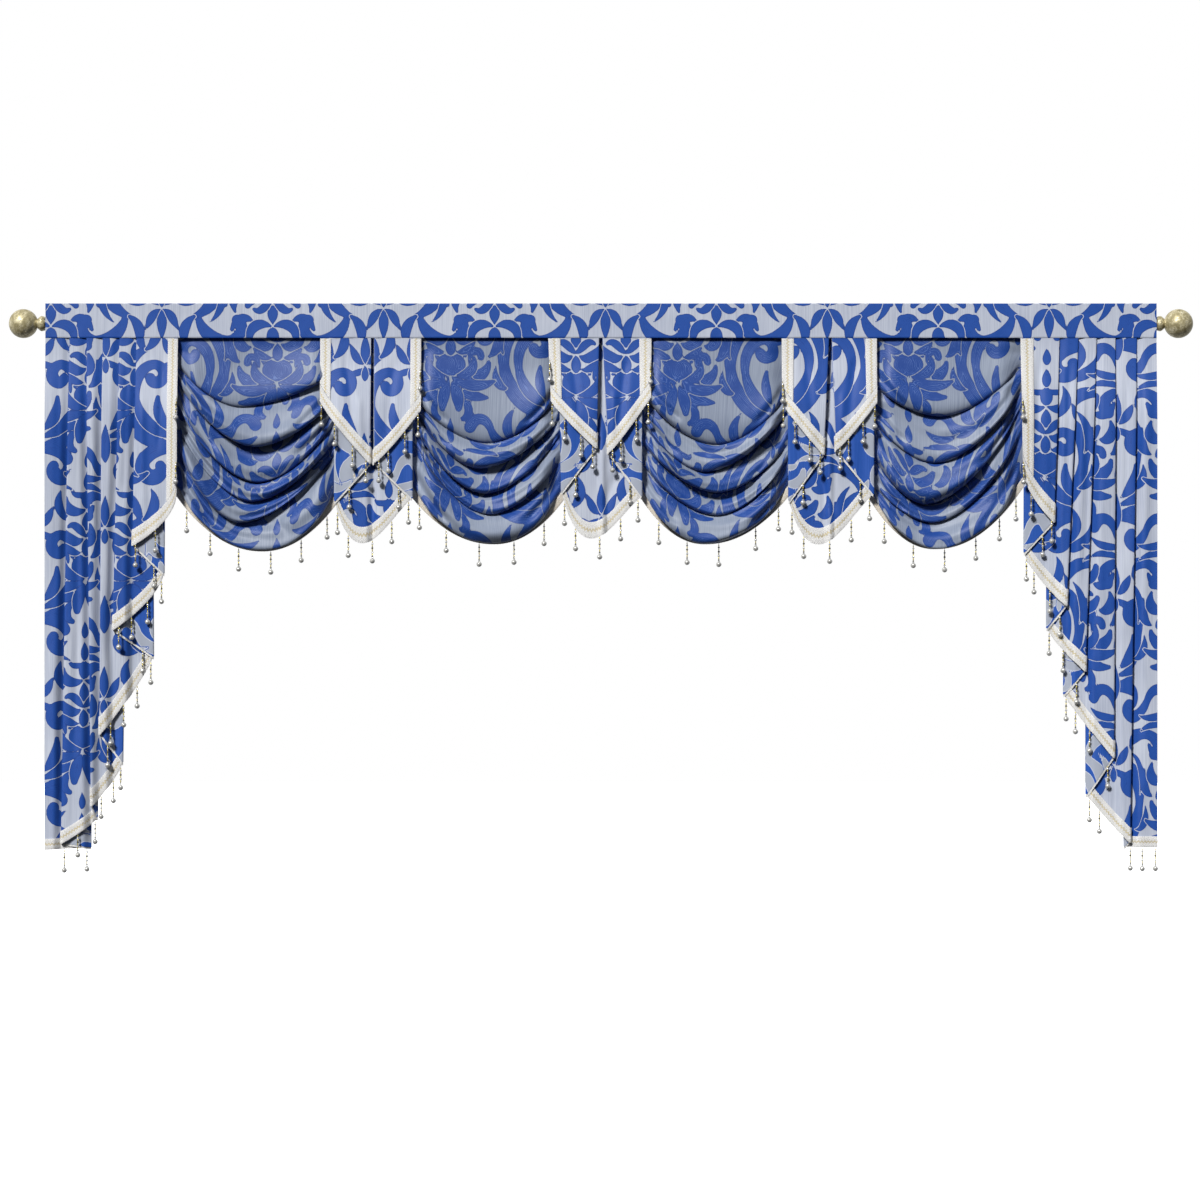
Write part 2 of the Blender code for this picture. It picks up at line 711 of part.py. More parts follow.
def build_tails(drop, parts, helpers):
    for name, edges in (
        ("tail_left", TAIL_LEFT_EDGES),
        ("tail_right", TAIL_RIGHT_EDGES),
    ):
        layers = tail_layers(edges)
        cloth = Pleated(edges, layers, TAIL_SWING, TAIL_FLARE, upright_end=False)
        places = pleat_drops(cloth, TAIL_DROPS[name]) + side_drops(cloth, SIDE_DROPS)
        build_pleated(name, cloth, (0,), places, drop, parts, helpers)


def build_jabots(drop, parts, helpers):
    for name, edges in JABOT_EDGES.items():
        layers = jabot_layers(JABOT_POINT[name])
        cloth = Pleated(edges, layers, JABOT_SWING, flare=0.0, upright_end=True)
        border = (0, len(cloth.rings) - 2)
        places = pleat_drops(cloth, JABOT_DROPS)
        build_pleated(name, cloth, border, places, drop, parts, helpers)


# ----------------------------------------------------------------------- swags


class Swag:
    """A gathered cloth whose folds hang in curves between its two sides."""

    def __init__(self, place, valleys):
        self.place = place
        self.sides = (place.left - place.tuck_left, place.right + place.tuck_right)
        seam = Valley(left=0.0, low_x=sum(self.sides) / 2, low=0.0, right=0.0, depth=0.0)
        self.lines = (seam,) + valleys

    def line_drop(self, line, x):
        side, high = (
            (self.place.left, line.left)
            if x < line.low_x
            else (self.place.right, line.right)
        )
        reach = abs(x - line.low_x) / abs(side - line.low_x)
        return mix(line.low, high, reach**FOLD_CURVE)

    def fullness(self, x):
        """How free the folds are to stand forward: 1 midway, 0 at either side."""
        u = (x - self.sides[0]) / (self.sides[1] - self.sides[0])
        return max(4.0 * u * (1.0 - u), 0.0)

    def point(self, fold, t, x):
        """A place on a fold, t of the way from its upper valley to its lower one."""
        above, below = self.lines[fold], self.lines[fold + 1]
        top, bottom = self.line_drop(above, x), self.line_drop(below, x)
        full = self.fullness(x)
        overhang = HEM_OVERHANG if fold == len(self.lines) - 2 else OVERHANG
        overhang *= smooth(2.0 * full)
        share = t - overhang / (2 * math.pi) * math.sin(2 * math.pi * t)
        drop = mix(top, bottom, share)
        turn = t**FIRST_FOLD_LAG if fold == 0 else t
        bulge = 0.5 - 0.5 * math.cos(2 * math.pi * turn)
        y = SWAG_BACK - SWAG_SWING * full * smooth(drop / SWAG_SWING_BELOW)
        y -= below.depth * full * bulge
        return Vector((x, y, CLOTH_TOP - drop))

    def ring(self, x):
        folds = len(self.lines) - 1
        points = []
        for fold in range(folds):
            steps = HEM_STEPS if fold == folds - 1 else FOLD_STEPS
            points += [self.point(fold, t, x) for t in steps]
        return points

    def rings(self):
        columns = SWAG_COLUMNS
        return [
            self.ring(mix(self.sides[0], self.sides[1], i / columns))
            for i in range(columns + 1)
        ]


def build_swags(drop, parts, helpers):
    for name, valleys in SWAG_VALLEYS.items():
        swag = Swag(SWAG_PLACES[name], valleys)
        rings = swag.rings()
        mesh = mesh_of_rings(name, rings)
        material = finish(name + "_jacquard", GREY_BLUE, 0.6, 0.0)
        solidify(add_object(name, mesh, material, parts), CLOTH)
        hem = len(rings[0]) - 2
        places = []
        for x in SWAG_DROPS[name]:
            share = (x - swag.sides[0]) / (swag.sides[1] - swag.sides[0])
            row = hem + 1 - EDGE_INSET
            root = braid_root(rings, share * SWAG_COLUMNS, row, flip=False)
            places.append((root, Vector()))

        def keep(column, row):
            return row == hem

        build_braid("trim_" + name, rings, keep, False, places, drop, parts, helpers)


def main():
    clear_scene()
    parts = new_collection("swag_and_tail_drape")
    helpers = new_collection("cutters")
    build_rod(parts)
    build_finials(parts)
    build_heading(parts)
    drop = bead_drop_mesh()
    build_swags(drop, parts, helpers)
    build_jabots(drop, parts, helpers)
    build_tails(drop, parts, helpers)


main()
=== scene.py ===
import math
from collections import namedtuple

import bpy
import numpy as np
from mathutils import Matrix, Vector


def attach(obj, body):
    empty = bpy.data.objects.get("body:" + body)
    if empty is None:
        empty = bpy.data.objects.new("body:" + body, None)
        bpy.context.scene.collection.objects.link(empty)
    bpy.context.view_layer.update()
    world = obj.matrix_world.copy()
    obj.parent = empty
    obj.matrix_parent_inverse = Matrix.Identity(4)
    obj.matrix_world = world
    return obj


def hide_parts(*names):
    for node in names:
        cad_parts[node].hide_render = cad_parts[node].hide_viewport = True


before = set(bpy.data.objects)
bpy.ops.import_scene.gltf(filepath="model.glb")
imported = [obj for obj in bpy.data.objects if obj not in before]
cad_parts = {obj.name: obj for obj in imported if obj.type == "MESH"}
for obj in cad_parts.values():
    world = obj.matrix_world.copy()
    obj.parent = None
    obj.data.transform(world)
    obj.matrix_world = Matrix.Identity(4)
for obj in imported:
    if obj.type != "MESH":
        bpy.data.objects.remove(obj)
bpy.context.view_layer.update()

# ------------------------------------------------------------------------ camera
# A long lens, level and square to the drape, so that the folds keep their true
# widths from the left finial to the right one. It comes first because every
# other size is judged through it.

FRAME_WIDTH = 2.687  # metres of the drape's plane that the camera takes in
FRAME_CENTRE = (-0.0022, -0.020, -0.6203)
LENS_MM = 120.0
SENSOR_MM = 36.0

camera_data = bpy.data.cameras.new("camera")
camera_data.lens = LENS_MM
camera_data.sensor_width = SENSOR_MM
camera = bpy.data.objects.new("camera", camera_data)
bpy.context.scene.collection.objects.link(camera)
camera_distance = FRAME_WIDTH * LENS_MM / SENSOR_MM
camera.location = Vector(FRAME_CENTRE) - Vector((0.0, camera_distance, 0.0))
camera.rotation_euler = (math.pi / 2, 0.0, 0.0)
bpy.context.scene.camera = camera

# --------------------------------------------------------------- rod and finials
# A satin steel tube, 25 mm, carries the drape, and each end is closed by a cast
# resin ball on a collar. The balls are finished in champagne crackle with a few
# blown pits, and are screwed to the tube.

ROD_RADIUS = 0.0125
BALL_RADIUS = 0.0325
BALL_CENTRE = 1.296
COLLAR_RADIUS = 0.017
WAIST_RADIUS = 0.0105
COLLAR_FACE = 1.247
BALL_TURNS = 128  # facets round the ball
BALL_RINGS = 56
COLLAR_RINGS = 18
COLLAR_CREST = 0.55  # how far along the collar it is at its thickest
COLLAR_TAPER = 0.35  # how much of its swell is gone where it meets the tube
PIT_RADIUS = 0.0021
PIT_DEPTH = 0.0013
# Places of the blown pits on the side that faces the room: out along the rod from
# the ball's centre, and up from it.
BALL_PITS = (
    (-0.0003, 0.0268), (-0.0061, 0.0212), (-0.0066, -0.0184), (-0.0010, -0.0243),
    (0.0029, 0.0019), (0.0150, 0.0110), (0.0128, -0.0140),
)


def linear(hex_colour):
    """An sRGB hex colour as Blender's linear RGBA."""
    parts = [int(hex_colour[i : i + 2], 16) / 255 for i in (1, 3, 5)]
    return [p / 12.92 if p <= 0.04045 else ((p + 0.055) / 1.055) ** 2.4 for p in parts] + [1.0]


def mix(a, b, t):
    """The value t of the way from a to b."""
    return a + (b - a) * t


def smooth(t):
    """0 up to t = 0 and 1 from t = 1, with a soft start and end between them."""
    t = np.clip(t, 0.0, 1.0)
    return t * t * (3.0 - 2.0 * t)


def new_material(name, **sockets):
    """A Principled material; each keyword is a socket with its spaces as underscores."""
    material = bpy.data.materials.new(name)
    material.use_nodes = True
    shader = material.node_tree.nodes["Principled BSDF"]
    for socket, value in sockets.items():
        value = linear(value) if isinstance(value, str) else value
        shader.inputs[socket.replace("_", " ")].default_value = value
    return material, material.node_tree, shader


def add_node(tree, kind, inputs=(), output=0, stops=(), **settings):
    """Adds a node and gives one of its outputs, or all of them where output is None.

    inputs maps its sockets to values, hex colours or the outputs that feed them, and
    stops are the places and hex colours of a ramp.
    """
    node = tree.nodes.new("ShaderNode" + kind)
    for name, value in settings.items():
        setattr(node, name, value)
    for socket, value in dict(inputs).items():
        if isinstance(value, bpy.types.NodeSocket):
            tree.links.new(value, node.inputs[socket])
        else:
            node.inputs[socket].default_value = linear(value) if isinstance(value, str) else value
    if stops:
        elements = node.color_ramp.elements
        while len(elements) < len(stops):
            elements.new(0.5)
        for element, (position, colour) in zip(elements, stops):
            element.position = position
            element.color = linear(colour)
    return node.outputs if output is None else node.outputs[output]


def grid_mesh(name, grid, uv=None, flip=False, closed=False):
    """A smooth surface through grid[column][row], with uv in metres of the flat piece."""
    columns, rows = grid.shape[:2]
    index = np.arange(columns * rows).reshape(columns, rows)
    if closed:
        index = np.concatenate([index, index[:, :1]], axis=1)
    corners = [index[:-1, :-1], index[:-1, 1:], index[1:, 1:], index[1:, :-1]]
    faces = np.stack([c.reshape(-1) for c in corners], axis=1)
    if flip:
        faces = faces[:, ::-1]
    mesh = bpy.data.meshes.new(name)
    mesh.from_pydata(grid.reshape(-1, 3), [], faces.tolist())
    if uv is not None:
        flat = uv.reshape(-1, 2)[faces.reshape(-1)]
        mesh.uv_layers.new(name="cloth").data.foreach_set("uv", flat.astype(np.float32).reshape(-1))
    mesh.shade_smooth()
    return mesh


def add_piece(name, mesh, materials, node):
    """Hangs a finished piece in place of its node of the frame."""
    piece = bpy.data.objects.new(name, mesh)
    bpy.context.scene.collection.objects.link(piece)
    for material in materials:
        mesh.materials.append(material)
    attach(piece, "root")
    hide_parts(node)
    return piece


def finial_mesh(name, side):
    """The turned ball, waist and collar, with its pits pressed in, along the rod's axis."""
    waist = math.acos(WAIST_RADIUS / BALL_RADIUS)
    angle = np.linspace(math.pi / 2, -waist, BALL_RINGS)
    radius = BALL_RADIUS * np.cos(angle)
    out = BALL_RADIUS * np.sin(angle)
    foot = COLLAR_FACE - BALL_CENTRE
    # The collar swells like a bead between two fillets, and ends flat on the tube.
    share = np.linspace(0.06, 1.0, COLLAR_RINGS)
    rising = np.sin(np.minimum(share / COLLAR_CREST, 1.0) * math.pi / 2) ** 1.6
    falling = 1 - COLLAR_TAPER * ((share - COLLAR_CREST) / (1 - COLLAR_CREST)) ** 2
    swell = np.where(share < COLLAR_CREST, rising, falling)
    radius = np.concatenate([radius, WAIST_RADIUS + (COLLAR_RADIUS - WAIST_RADIUS) * swell, [1e-4]])
    out = np.concatenate([out, mix(out[-1], foot, share), [foot]])
    radius[0] = 1e-5
    turn = np.linspace(0, 2 * math.pi, BALL_TURNS, endpoint=False)
    grid = np.empty((len(radius), BALL_TURNS, 3))
    grid[..., 0] = side * (BALL_CENTRE + out[:, None])
    grid[..., 1] = radius[:, None] * np.sin(turn)
    grid[..., 2] = radius[:, None] * np.cos(turn)
    centre = np.array((side * BALL_CENTRE, 0.0, 0.0))
    for along, up in BALL_PITS:
        for face in (-1, 1):
            towards = np.array((side * along, face * math.sqrt(BALL_RADIUS**2 - along**2 - up**2), up))
            far = np.linalg.norm(grid - centre - towards, axis=-1)
            sunk = PIT_DEPTH * (1 - smooth(far / PIT_RADIUS))
            grid -= sunk[..., None] * towards / BALL_RADIUS
    return grid_mesh(name, grid, flip=side > 0, closed=True)


# Crackle paint over a warm metallic base: pale champagne islands with fine dark
# cracks, mottled greenish where the base coat shows, darkest inside the pits.
CRACKLE_CELL = 0.0075  # width of an island of paint
MOTTLE_SCALE = 95.0  # blotches about 10 mm across
PINHOLE_SCALE = 210.0  # pinholes about 5 mm apart
crackle, tree, shader = new_material("champagne_crackle_lacquer", Metallic=0.3, Roughness=0.42)
place = add_node(tree, "TexCoord", output="Object")
mottle = add_node(
    tree, "TexNoise", {"Vector": place, "Scale": MOTTLE_SCALE, "Detail": 5.0, "Roughness": 0.62}, output=None
)
tone = add_node(tree, "ValToRGB", {0: mottle["Fac"]}, stops=(
    (0.30, "#8C805A"),
    (0.46, "#B8AC82"),
    (0.58, "#DACFA8"),
    (0.72, "#F0E8CC"),
))
warp = add_node(tree, "MixRGB", {0: 0.006, 1: place, 2: mottle["Color"]})
cells = add_node(
    tree, "TexVoronoi", {"Vector": warp, "Scale": 1.0 / CRACKLE_CELL}, "Distance", feature="DISTANCE_TO_EDGE"
)
crack = add_node(tree, "MapRange", {"Value": cells, "From Min": 0.01, "From Max": 0.07})
pinholes = add_node(tree, "TexVoronoi", {"Vector": place, "Scale": PINHOLE_SCALE}, "Distance")
pinholes = add_node(tree, "MapRange", {"Value": pinholes, "From Min": 0.10, "From Max": 0.22})
groove = add_node(tree, "Math", {0: crack, 1: pinholes}, operation="MULTIPLY")
coat = add_node(tree, "MixRGB", {0: groove, 1: "#978B68", 2: tone})
tree.links.new(coat, shader.inputs["Base Color"])
relief = add_node(tree, "Bump", {"Height": groove, "Distance": 0.0003, "Strength": 0.45})
tree.links.new(relief, shader.inputs["Normal"])

for name, side in (("finial_left", -1), ("finial_right", 1)):
    add_piece("ball_" + name, finial_mesh(name, side), [crackle], name)

# The tube itself only shows at its ends: satin steel, brushed along its length, so
# fine lines run with the rod. They are drawn about 1 mm apart so that they show.
BRUSH_SCALE = (4.0, 900.0, 900.0)
satin_steel, tree, shader = new_material("brushed_steel", Base_Color="#B8B4A6", Metallic=1.0, Roughness=0.34)
place = add_node(tree, "TexCoord", output="Object")
drawn = add_node(tree, "Mapping", {"Vector": place, "Scale": BRUSH_SCALE})
brushed = add_node(tree, "TexNoise", {"Vector": drawn, "Scale": 1.0, "Detail": 3.0})
relief = add_node(tree, "Bump", {"Height": brushed, "Distance": 0.0001, "Strength": 0.3})
tree.links.new(relief, shader.inputs["Normal"])
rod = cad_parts["rod"]
rod.data.materials.clear()
rod.data.materials.append(satin_steel)

# ----------------------------------------------------------------------- heading
# One folded strip of the jacquard: its front stands up above the rod as a flat
# header, turns over, is stitched down behind, and goes round the rod as a pocket
# to the seam that all the hanging cloths are sewn into.

DRAPE_WIDTH = 2.490
BAND_TOP = 0.045
SEAM = -0.034
SEAM_DEPTH = 0.012
BAND_CLOTH = 0.0015
GAP = 0.0003
TUCK_UP = 0.0026  # how far the seam is turned up inside the band
SEAM_SLACK = 0.0009  # how much further the cloths sewn into it reach up
SEAM_TURN = 0.0008  # how far the back of the seam lies above its front
FOOT_ROUND = 0.0012  # rounding of the band's lower edge, backwards
FOOT_RISE = 0.0005  # and upwards
POCKET_SAG = 0.55  # how far the pocket hangs down behind, as a share of the seam's drop
HEADER_TURN = 0.006  # from the header's top to where its back is straight
PUCKER = 0.0004
PUCKER_ABOVE = 0.030  # height over which the seam's puckers die out
FACE_ROWS = 24  # points of the strip's path, from the seam up, that can pucker
HEADER_FOOT = 0.012
LEAN = 0.0007  # how far the header leans to and fro
CLOTH_GRID = 0.0040  # spacing of the points of every cloth
HEADING_PATTERN = (-0.2385, 0.184)  # where a palmette's axis and its base lie on the strip

# The damask's repeat, mirrored about the palmette's axis, in millimetres.
REPEAT_WIDTH = 497.0
REPEAT_HEIGHT = 382.0
PALMETTE_BASE = 0.150  # height of the palmette's base in the repeat, in metres
MOTIF_REACH = 8.0  # how far outside a motif its distance is still worked out
STROKE_SEGMENTS = 14

# A motif is one brush stroke, placed from the palmette's axis and the repeat's foot,
# along a curve's four control points or a curl's shrinking turn. layer: which of the
# three woven over one another it is in; start, belly, tip: half widths.
Stroke = namedtuple("Stroke", "layer curve start belly tip")
Curl = namedtuple("Curl", "layer centre radii turns start belly tip")

PALMETTE = (
    # A heart with two small curls, under a lozenge.
    Stroke(1, ((0, 162), (0, 174), (0, 186), (0, 194)), 4, 14, 10),
    Stroke(1, ((4, 162), (22, 168), (30, 188), (13, 197)), 6, 12, 9),
    Stroke(1, ((16, 203), (22, 217), (36, 215), (32, 203)), 4, 5.5, 5),
    Stroke(2, ((0, 204), (0, 215), (0, 228), (0, 244)), 1, 12, 1),
    # Leaves beside the lozenge, and a lily over it.
    Stroke(2, ((13, 212), (28, 208), (44, 220), (54, 234)), 1.5, 9, 2),
    Stroke(1, ((10, 242), (26, 230), (46, 242), (56, 262)), 3, 13, 7),
    Stroke(2, ((2, 250), (12, 254), (26, 284), (42, 270)), 3, 9.5, 4),
    Stroke(1, ((0, 262), (0, 272), (0, 284), (0, 304)), 1, 12, 1),
    # Commas on either side of the heart, and the fan of petals below its foot.
    Stroke(2, ((42, 190), (40, 214), (66, 224), (68, 200)), 3, 8, 8.5),
    Stroke(2, ((3, 154), (36, 154), (58, 170), (52, 198)), 1.5, 12, 4),
    Stroke(1, ((4, 151), (42, 142), (82, 154), (86, 188)), 1.5, 14.5, 5),
    Stroke(2, ((4, 148), (36, 134), (74, 126), (102, 148)), 1.5, 13, 3),
    Stroke(1, ((4, 145), (24, 126), (52, 104), (84, 108)), 1.5, 13.5, 5),
    Stroke(2, ((2, 143), (12, 128), (20, 104), (20, 82)), 1, 14, 8),
    Stroke(1, ((30, 100), (46, 90), (50, 66), (30, 58)), 5, 10, 6),
    # Outer leaves that close the palmette at its sides.
    Stroke(2, ((62, 236), (78, 228), (96, 244), (84, 276)), 3, 13, 3),
    Stroke(1, ((86, 202), (104, 208), (110, 234), (104, 262)), 3, 11, 3),
    # The bud and its bracts between this palmette and the next.
    Stroke(1, ((0, 312), (0, 324), (0, 336), (0, 354)), 2, 14, 1),
    Stroke(2, ((5, 308), (24, 298), (50, 304), (52, 332)), 3, 12, 8),
    Stroke(0, ((46, 296), (62, 284), (82, 290), (92, 316)), 3, 11, 4),
)
LYRE = (
    Stroke(0, ((244, 66), (196, 72), (130, 104), (120, 180)), 7, 19, 12),
    Stroke(0, ((120, 180), (112, 232), (138, 272), (176, 286)), 12, 16, 6),
    Stroke(1, ((118, 206), (104, 236), (112, 278), (142, 300)), 2, 9, 1),
    Stroke(1, ((244, 88), (206, 96), (164, 122), (154, 172)), 2, 14, 9),
    Stroke(1, ((154, 172), (146, 214), (164, 248), (194, 252)), 9, 13, 11),
    Curl(1, (196, 226), (26, 11), (0.25, -0.42), 11, 14, 12),
    Stroke(2, ((238, 104), (216, 118), (200, 142), (204, 178)), 1, 13, 5),
    Stroke(1, ((134, 126), (110, 126), (96, 148), (102, 180)), 1, 10, 1),
    Stroke(2, ((248, 34), (248, 54), (248, 76), (248, 116)), 3, 14, 1),
    Stroke(0, ((246, 60), (224, 66), (198, 64), (180, 44)), 7, 15, 16),
    Curl(0, (198, 20), (31, 14), (0.38, 1.05), 16, 18, 12),
)
BRANCHES = (
    Stroke(1, ((182, 8), (150, -20), (112, -4), (96, 32)), 4, 13, 8),
    Stroke(1, ((96, 32), (86, 60), (62, 70), (48, 40)), 8, 12, 14),
    Stroke(2, ((162, 0), (126, 20), (124, 56), (150, 84)), 1, 12, 1),
    Stroke(2, ((118, 0), (92, -12), (58, -4), (38, 18)), 1, 9, 1),
    Stroke(2, ((176, 286), (198, 300), (208, 328), (190, 356)), 4, 12, 1),
    Stroke(0, ((168, 284), (160, 322), (132, 344), (98, 340)), 6, 15, 11),
    Stroke(0, ((98, 340), (70, 334), (60, 308), (80, 294)), 11, 13, 12),
    Stroke(1, ((116, 344), (94, 364), (60, 368), (32, 352)), 1, 8, 1),
)
BUDS = (
    Stroke(1, ((248, 272), (248, 288), (248, 308), (248, 340)), 2, 11, 0.5),
    Stroke(2, ((246, 270), (228, 276), (222, 296), (212, 316)), 1, 10, 1),
    Stroke(1, ((247, 262), (238, 252), (226, 246), (208, 252)), 1, 8, 0.5),
    Stroke(2, ((248, 232), (248, 240), (248, 252), (248, 264)), 1, 8, 2),
    Stroke(2, ((0, 352), (0, 362), (0, 374), (0, 396)), 1, 10, 0.5),
    Stroke(1, ((2, 348), (12, 338), (30, 338), (38, 350)), 1, 7, 0.5),
    Stroke(1, ((0, 20), (0, 28), (0, 38), (0, 60)), 0.5, 9, 0.5),
)


def spine_of(stroke):
    """Points along a stroke and its half width at each."""
    t = np.linspace(0.0, 1.0, STROKE_SEGMENTS + 1)
    if isinstance(stroke, Curl):
        turn = 2 * math.pi * mix(stroke.turns[0], stroke.turns[1], t)
        radius = mix(stroke.radii[0], stroke.radii[1], t)
        x = stroke.centre[0] + radius * np.cos(turn)
        y = stroke.centre[1] + radius * np.sin(turn)
    else:
        weights = ((1 - t) ** 3, 3 * (1 - t) ** 2 * t, 3 * (1 - t) * t * t, t**3)
        x, y = (sum(w * point[axis] for w, point in zip(weights, stroke.curve)) for axis in (0, 1))
    middle = stroke.belly - (stroke.start + stroke.tip) / 2
    return x, y, mix(stroke.start, stroke.tip, t) + middle * np.sin(math.pi * t) ** 1.1


def inside_stroke(x, y, half, at_x, at_y):
    """How deep each place lies inside a stroke; below 0 outside it."""
    deepest = np.full(at_x.shape, -MOTIF_REACH)
    for i in range(STROKE_SEGMENTS):
        dx, dy = x[i + 1] - x[i], y[i + 1] - y[i]
        share = ((at_x - x[i]) * dx + (at_y - y[i]) * dy) / (dx * dx + dy * dy)
        share = np.clip(share, 0.0, 1.0)
        far = np.hypot(at_x - x[i] - share * dx, at_y - y[i] - share * dy)
        deepest = np.maximum(deepest, mix(half[i], half[i + 1], share) - far)
    return deepest


def damask_depths(u, v):
    """For places on the flat cloth, in metres, the depth inside each woven layer, in mm."""
    at_x = u * 1000
    at_x = np.abs((at_x + REPEAT_WIDTH / 2) % REPEAT_WIDTH - REPEAT_WIDTH / 2)
    at_y = (v * 1000) % REPEAT_HEIGHT
    depths = np.full((3,) + u.shape, -MOTIF_REACH)
    for stroke in PALMETTE + LYRE + BRANCHES + BUDS:
        x, y, half = spine_of(stroke)
        # Its mirror image, and both again in the repeats beside, below and above.
        copies = [(side, column, row) for side in (1, -1) for column in (0, 1) for row in (-1, 0, 1)]
        for side, column, row in copies:
            sx, sy = side * x + column * REPEAT_WIDTH, y + row * REPEAT_HEIGHT
            reach = half + MOTIF_REACH
            near = np.nonzero(
                (at_x > (sx - reach).min())
                & (at_x < (sx + reach).max())
                & (at_y > (sy - reach).min())
                & (at_y < (sy + reach).max())
            )
            if near[0].size:
                deep = inside_stroke(sx, sy, half, at_x[near], at_y[near])
                layer = depths[stroke.layer]
                layer[near] = np.maximum(layer[near], deep)
    return depths


def weave_damask(mesh, uv, axis, drop):
    """Weaves the damask into a cloth: axis and drop are where a palmette's base lies on it."""
    u = uv[..., 0].reshape(-1) - axis
    v = drop - uv[..., 1].reshape(-1) + PALMETTE_BASE
    depths = damask_depths(u, v)
    woven = mesh.attributes.new("damask", "FLOAT_VECTOR", "POINT")
    woven.data.foreach_set("vector", depths.T.astype(np.float32).reshape(-1))


# Satin jacquard in polyester: the blue weft floats over a silver-grey repp ground,
# so the figure is smoother than the ground and the two change places on the back.
# Threads are 0.4 mm; they and the ribs are drawn at 1.1 mm so that they show at all.
OUTLINE_MM = 1.5
FINE_LINE_MM = 3.4  # between the fine drawn lines inside a motif
PALE_GAP_MM = 1.5  # of ground between two motifs that overlap
EDGE_STEP_MM = 1.4  # how far a motif's edge steps to and fro with the threads
EDGE_SOFT_MM = 0.5  # half the width over which one colour gives way to the other
THREAD_SCALE = 900.0  # threads 1.1 mm apart
PATCH_SCALE = 34.0  # fine lines come and go over 30 mm
SHADE_SCALE = 7.0  # the ground's tone wanders over 140 mm
RIB_PITCH = 0.0011
STREAK = (700.0, 9.0, 1.0)  # ground threads vary from one to the next, not along them


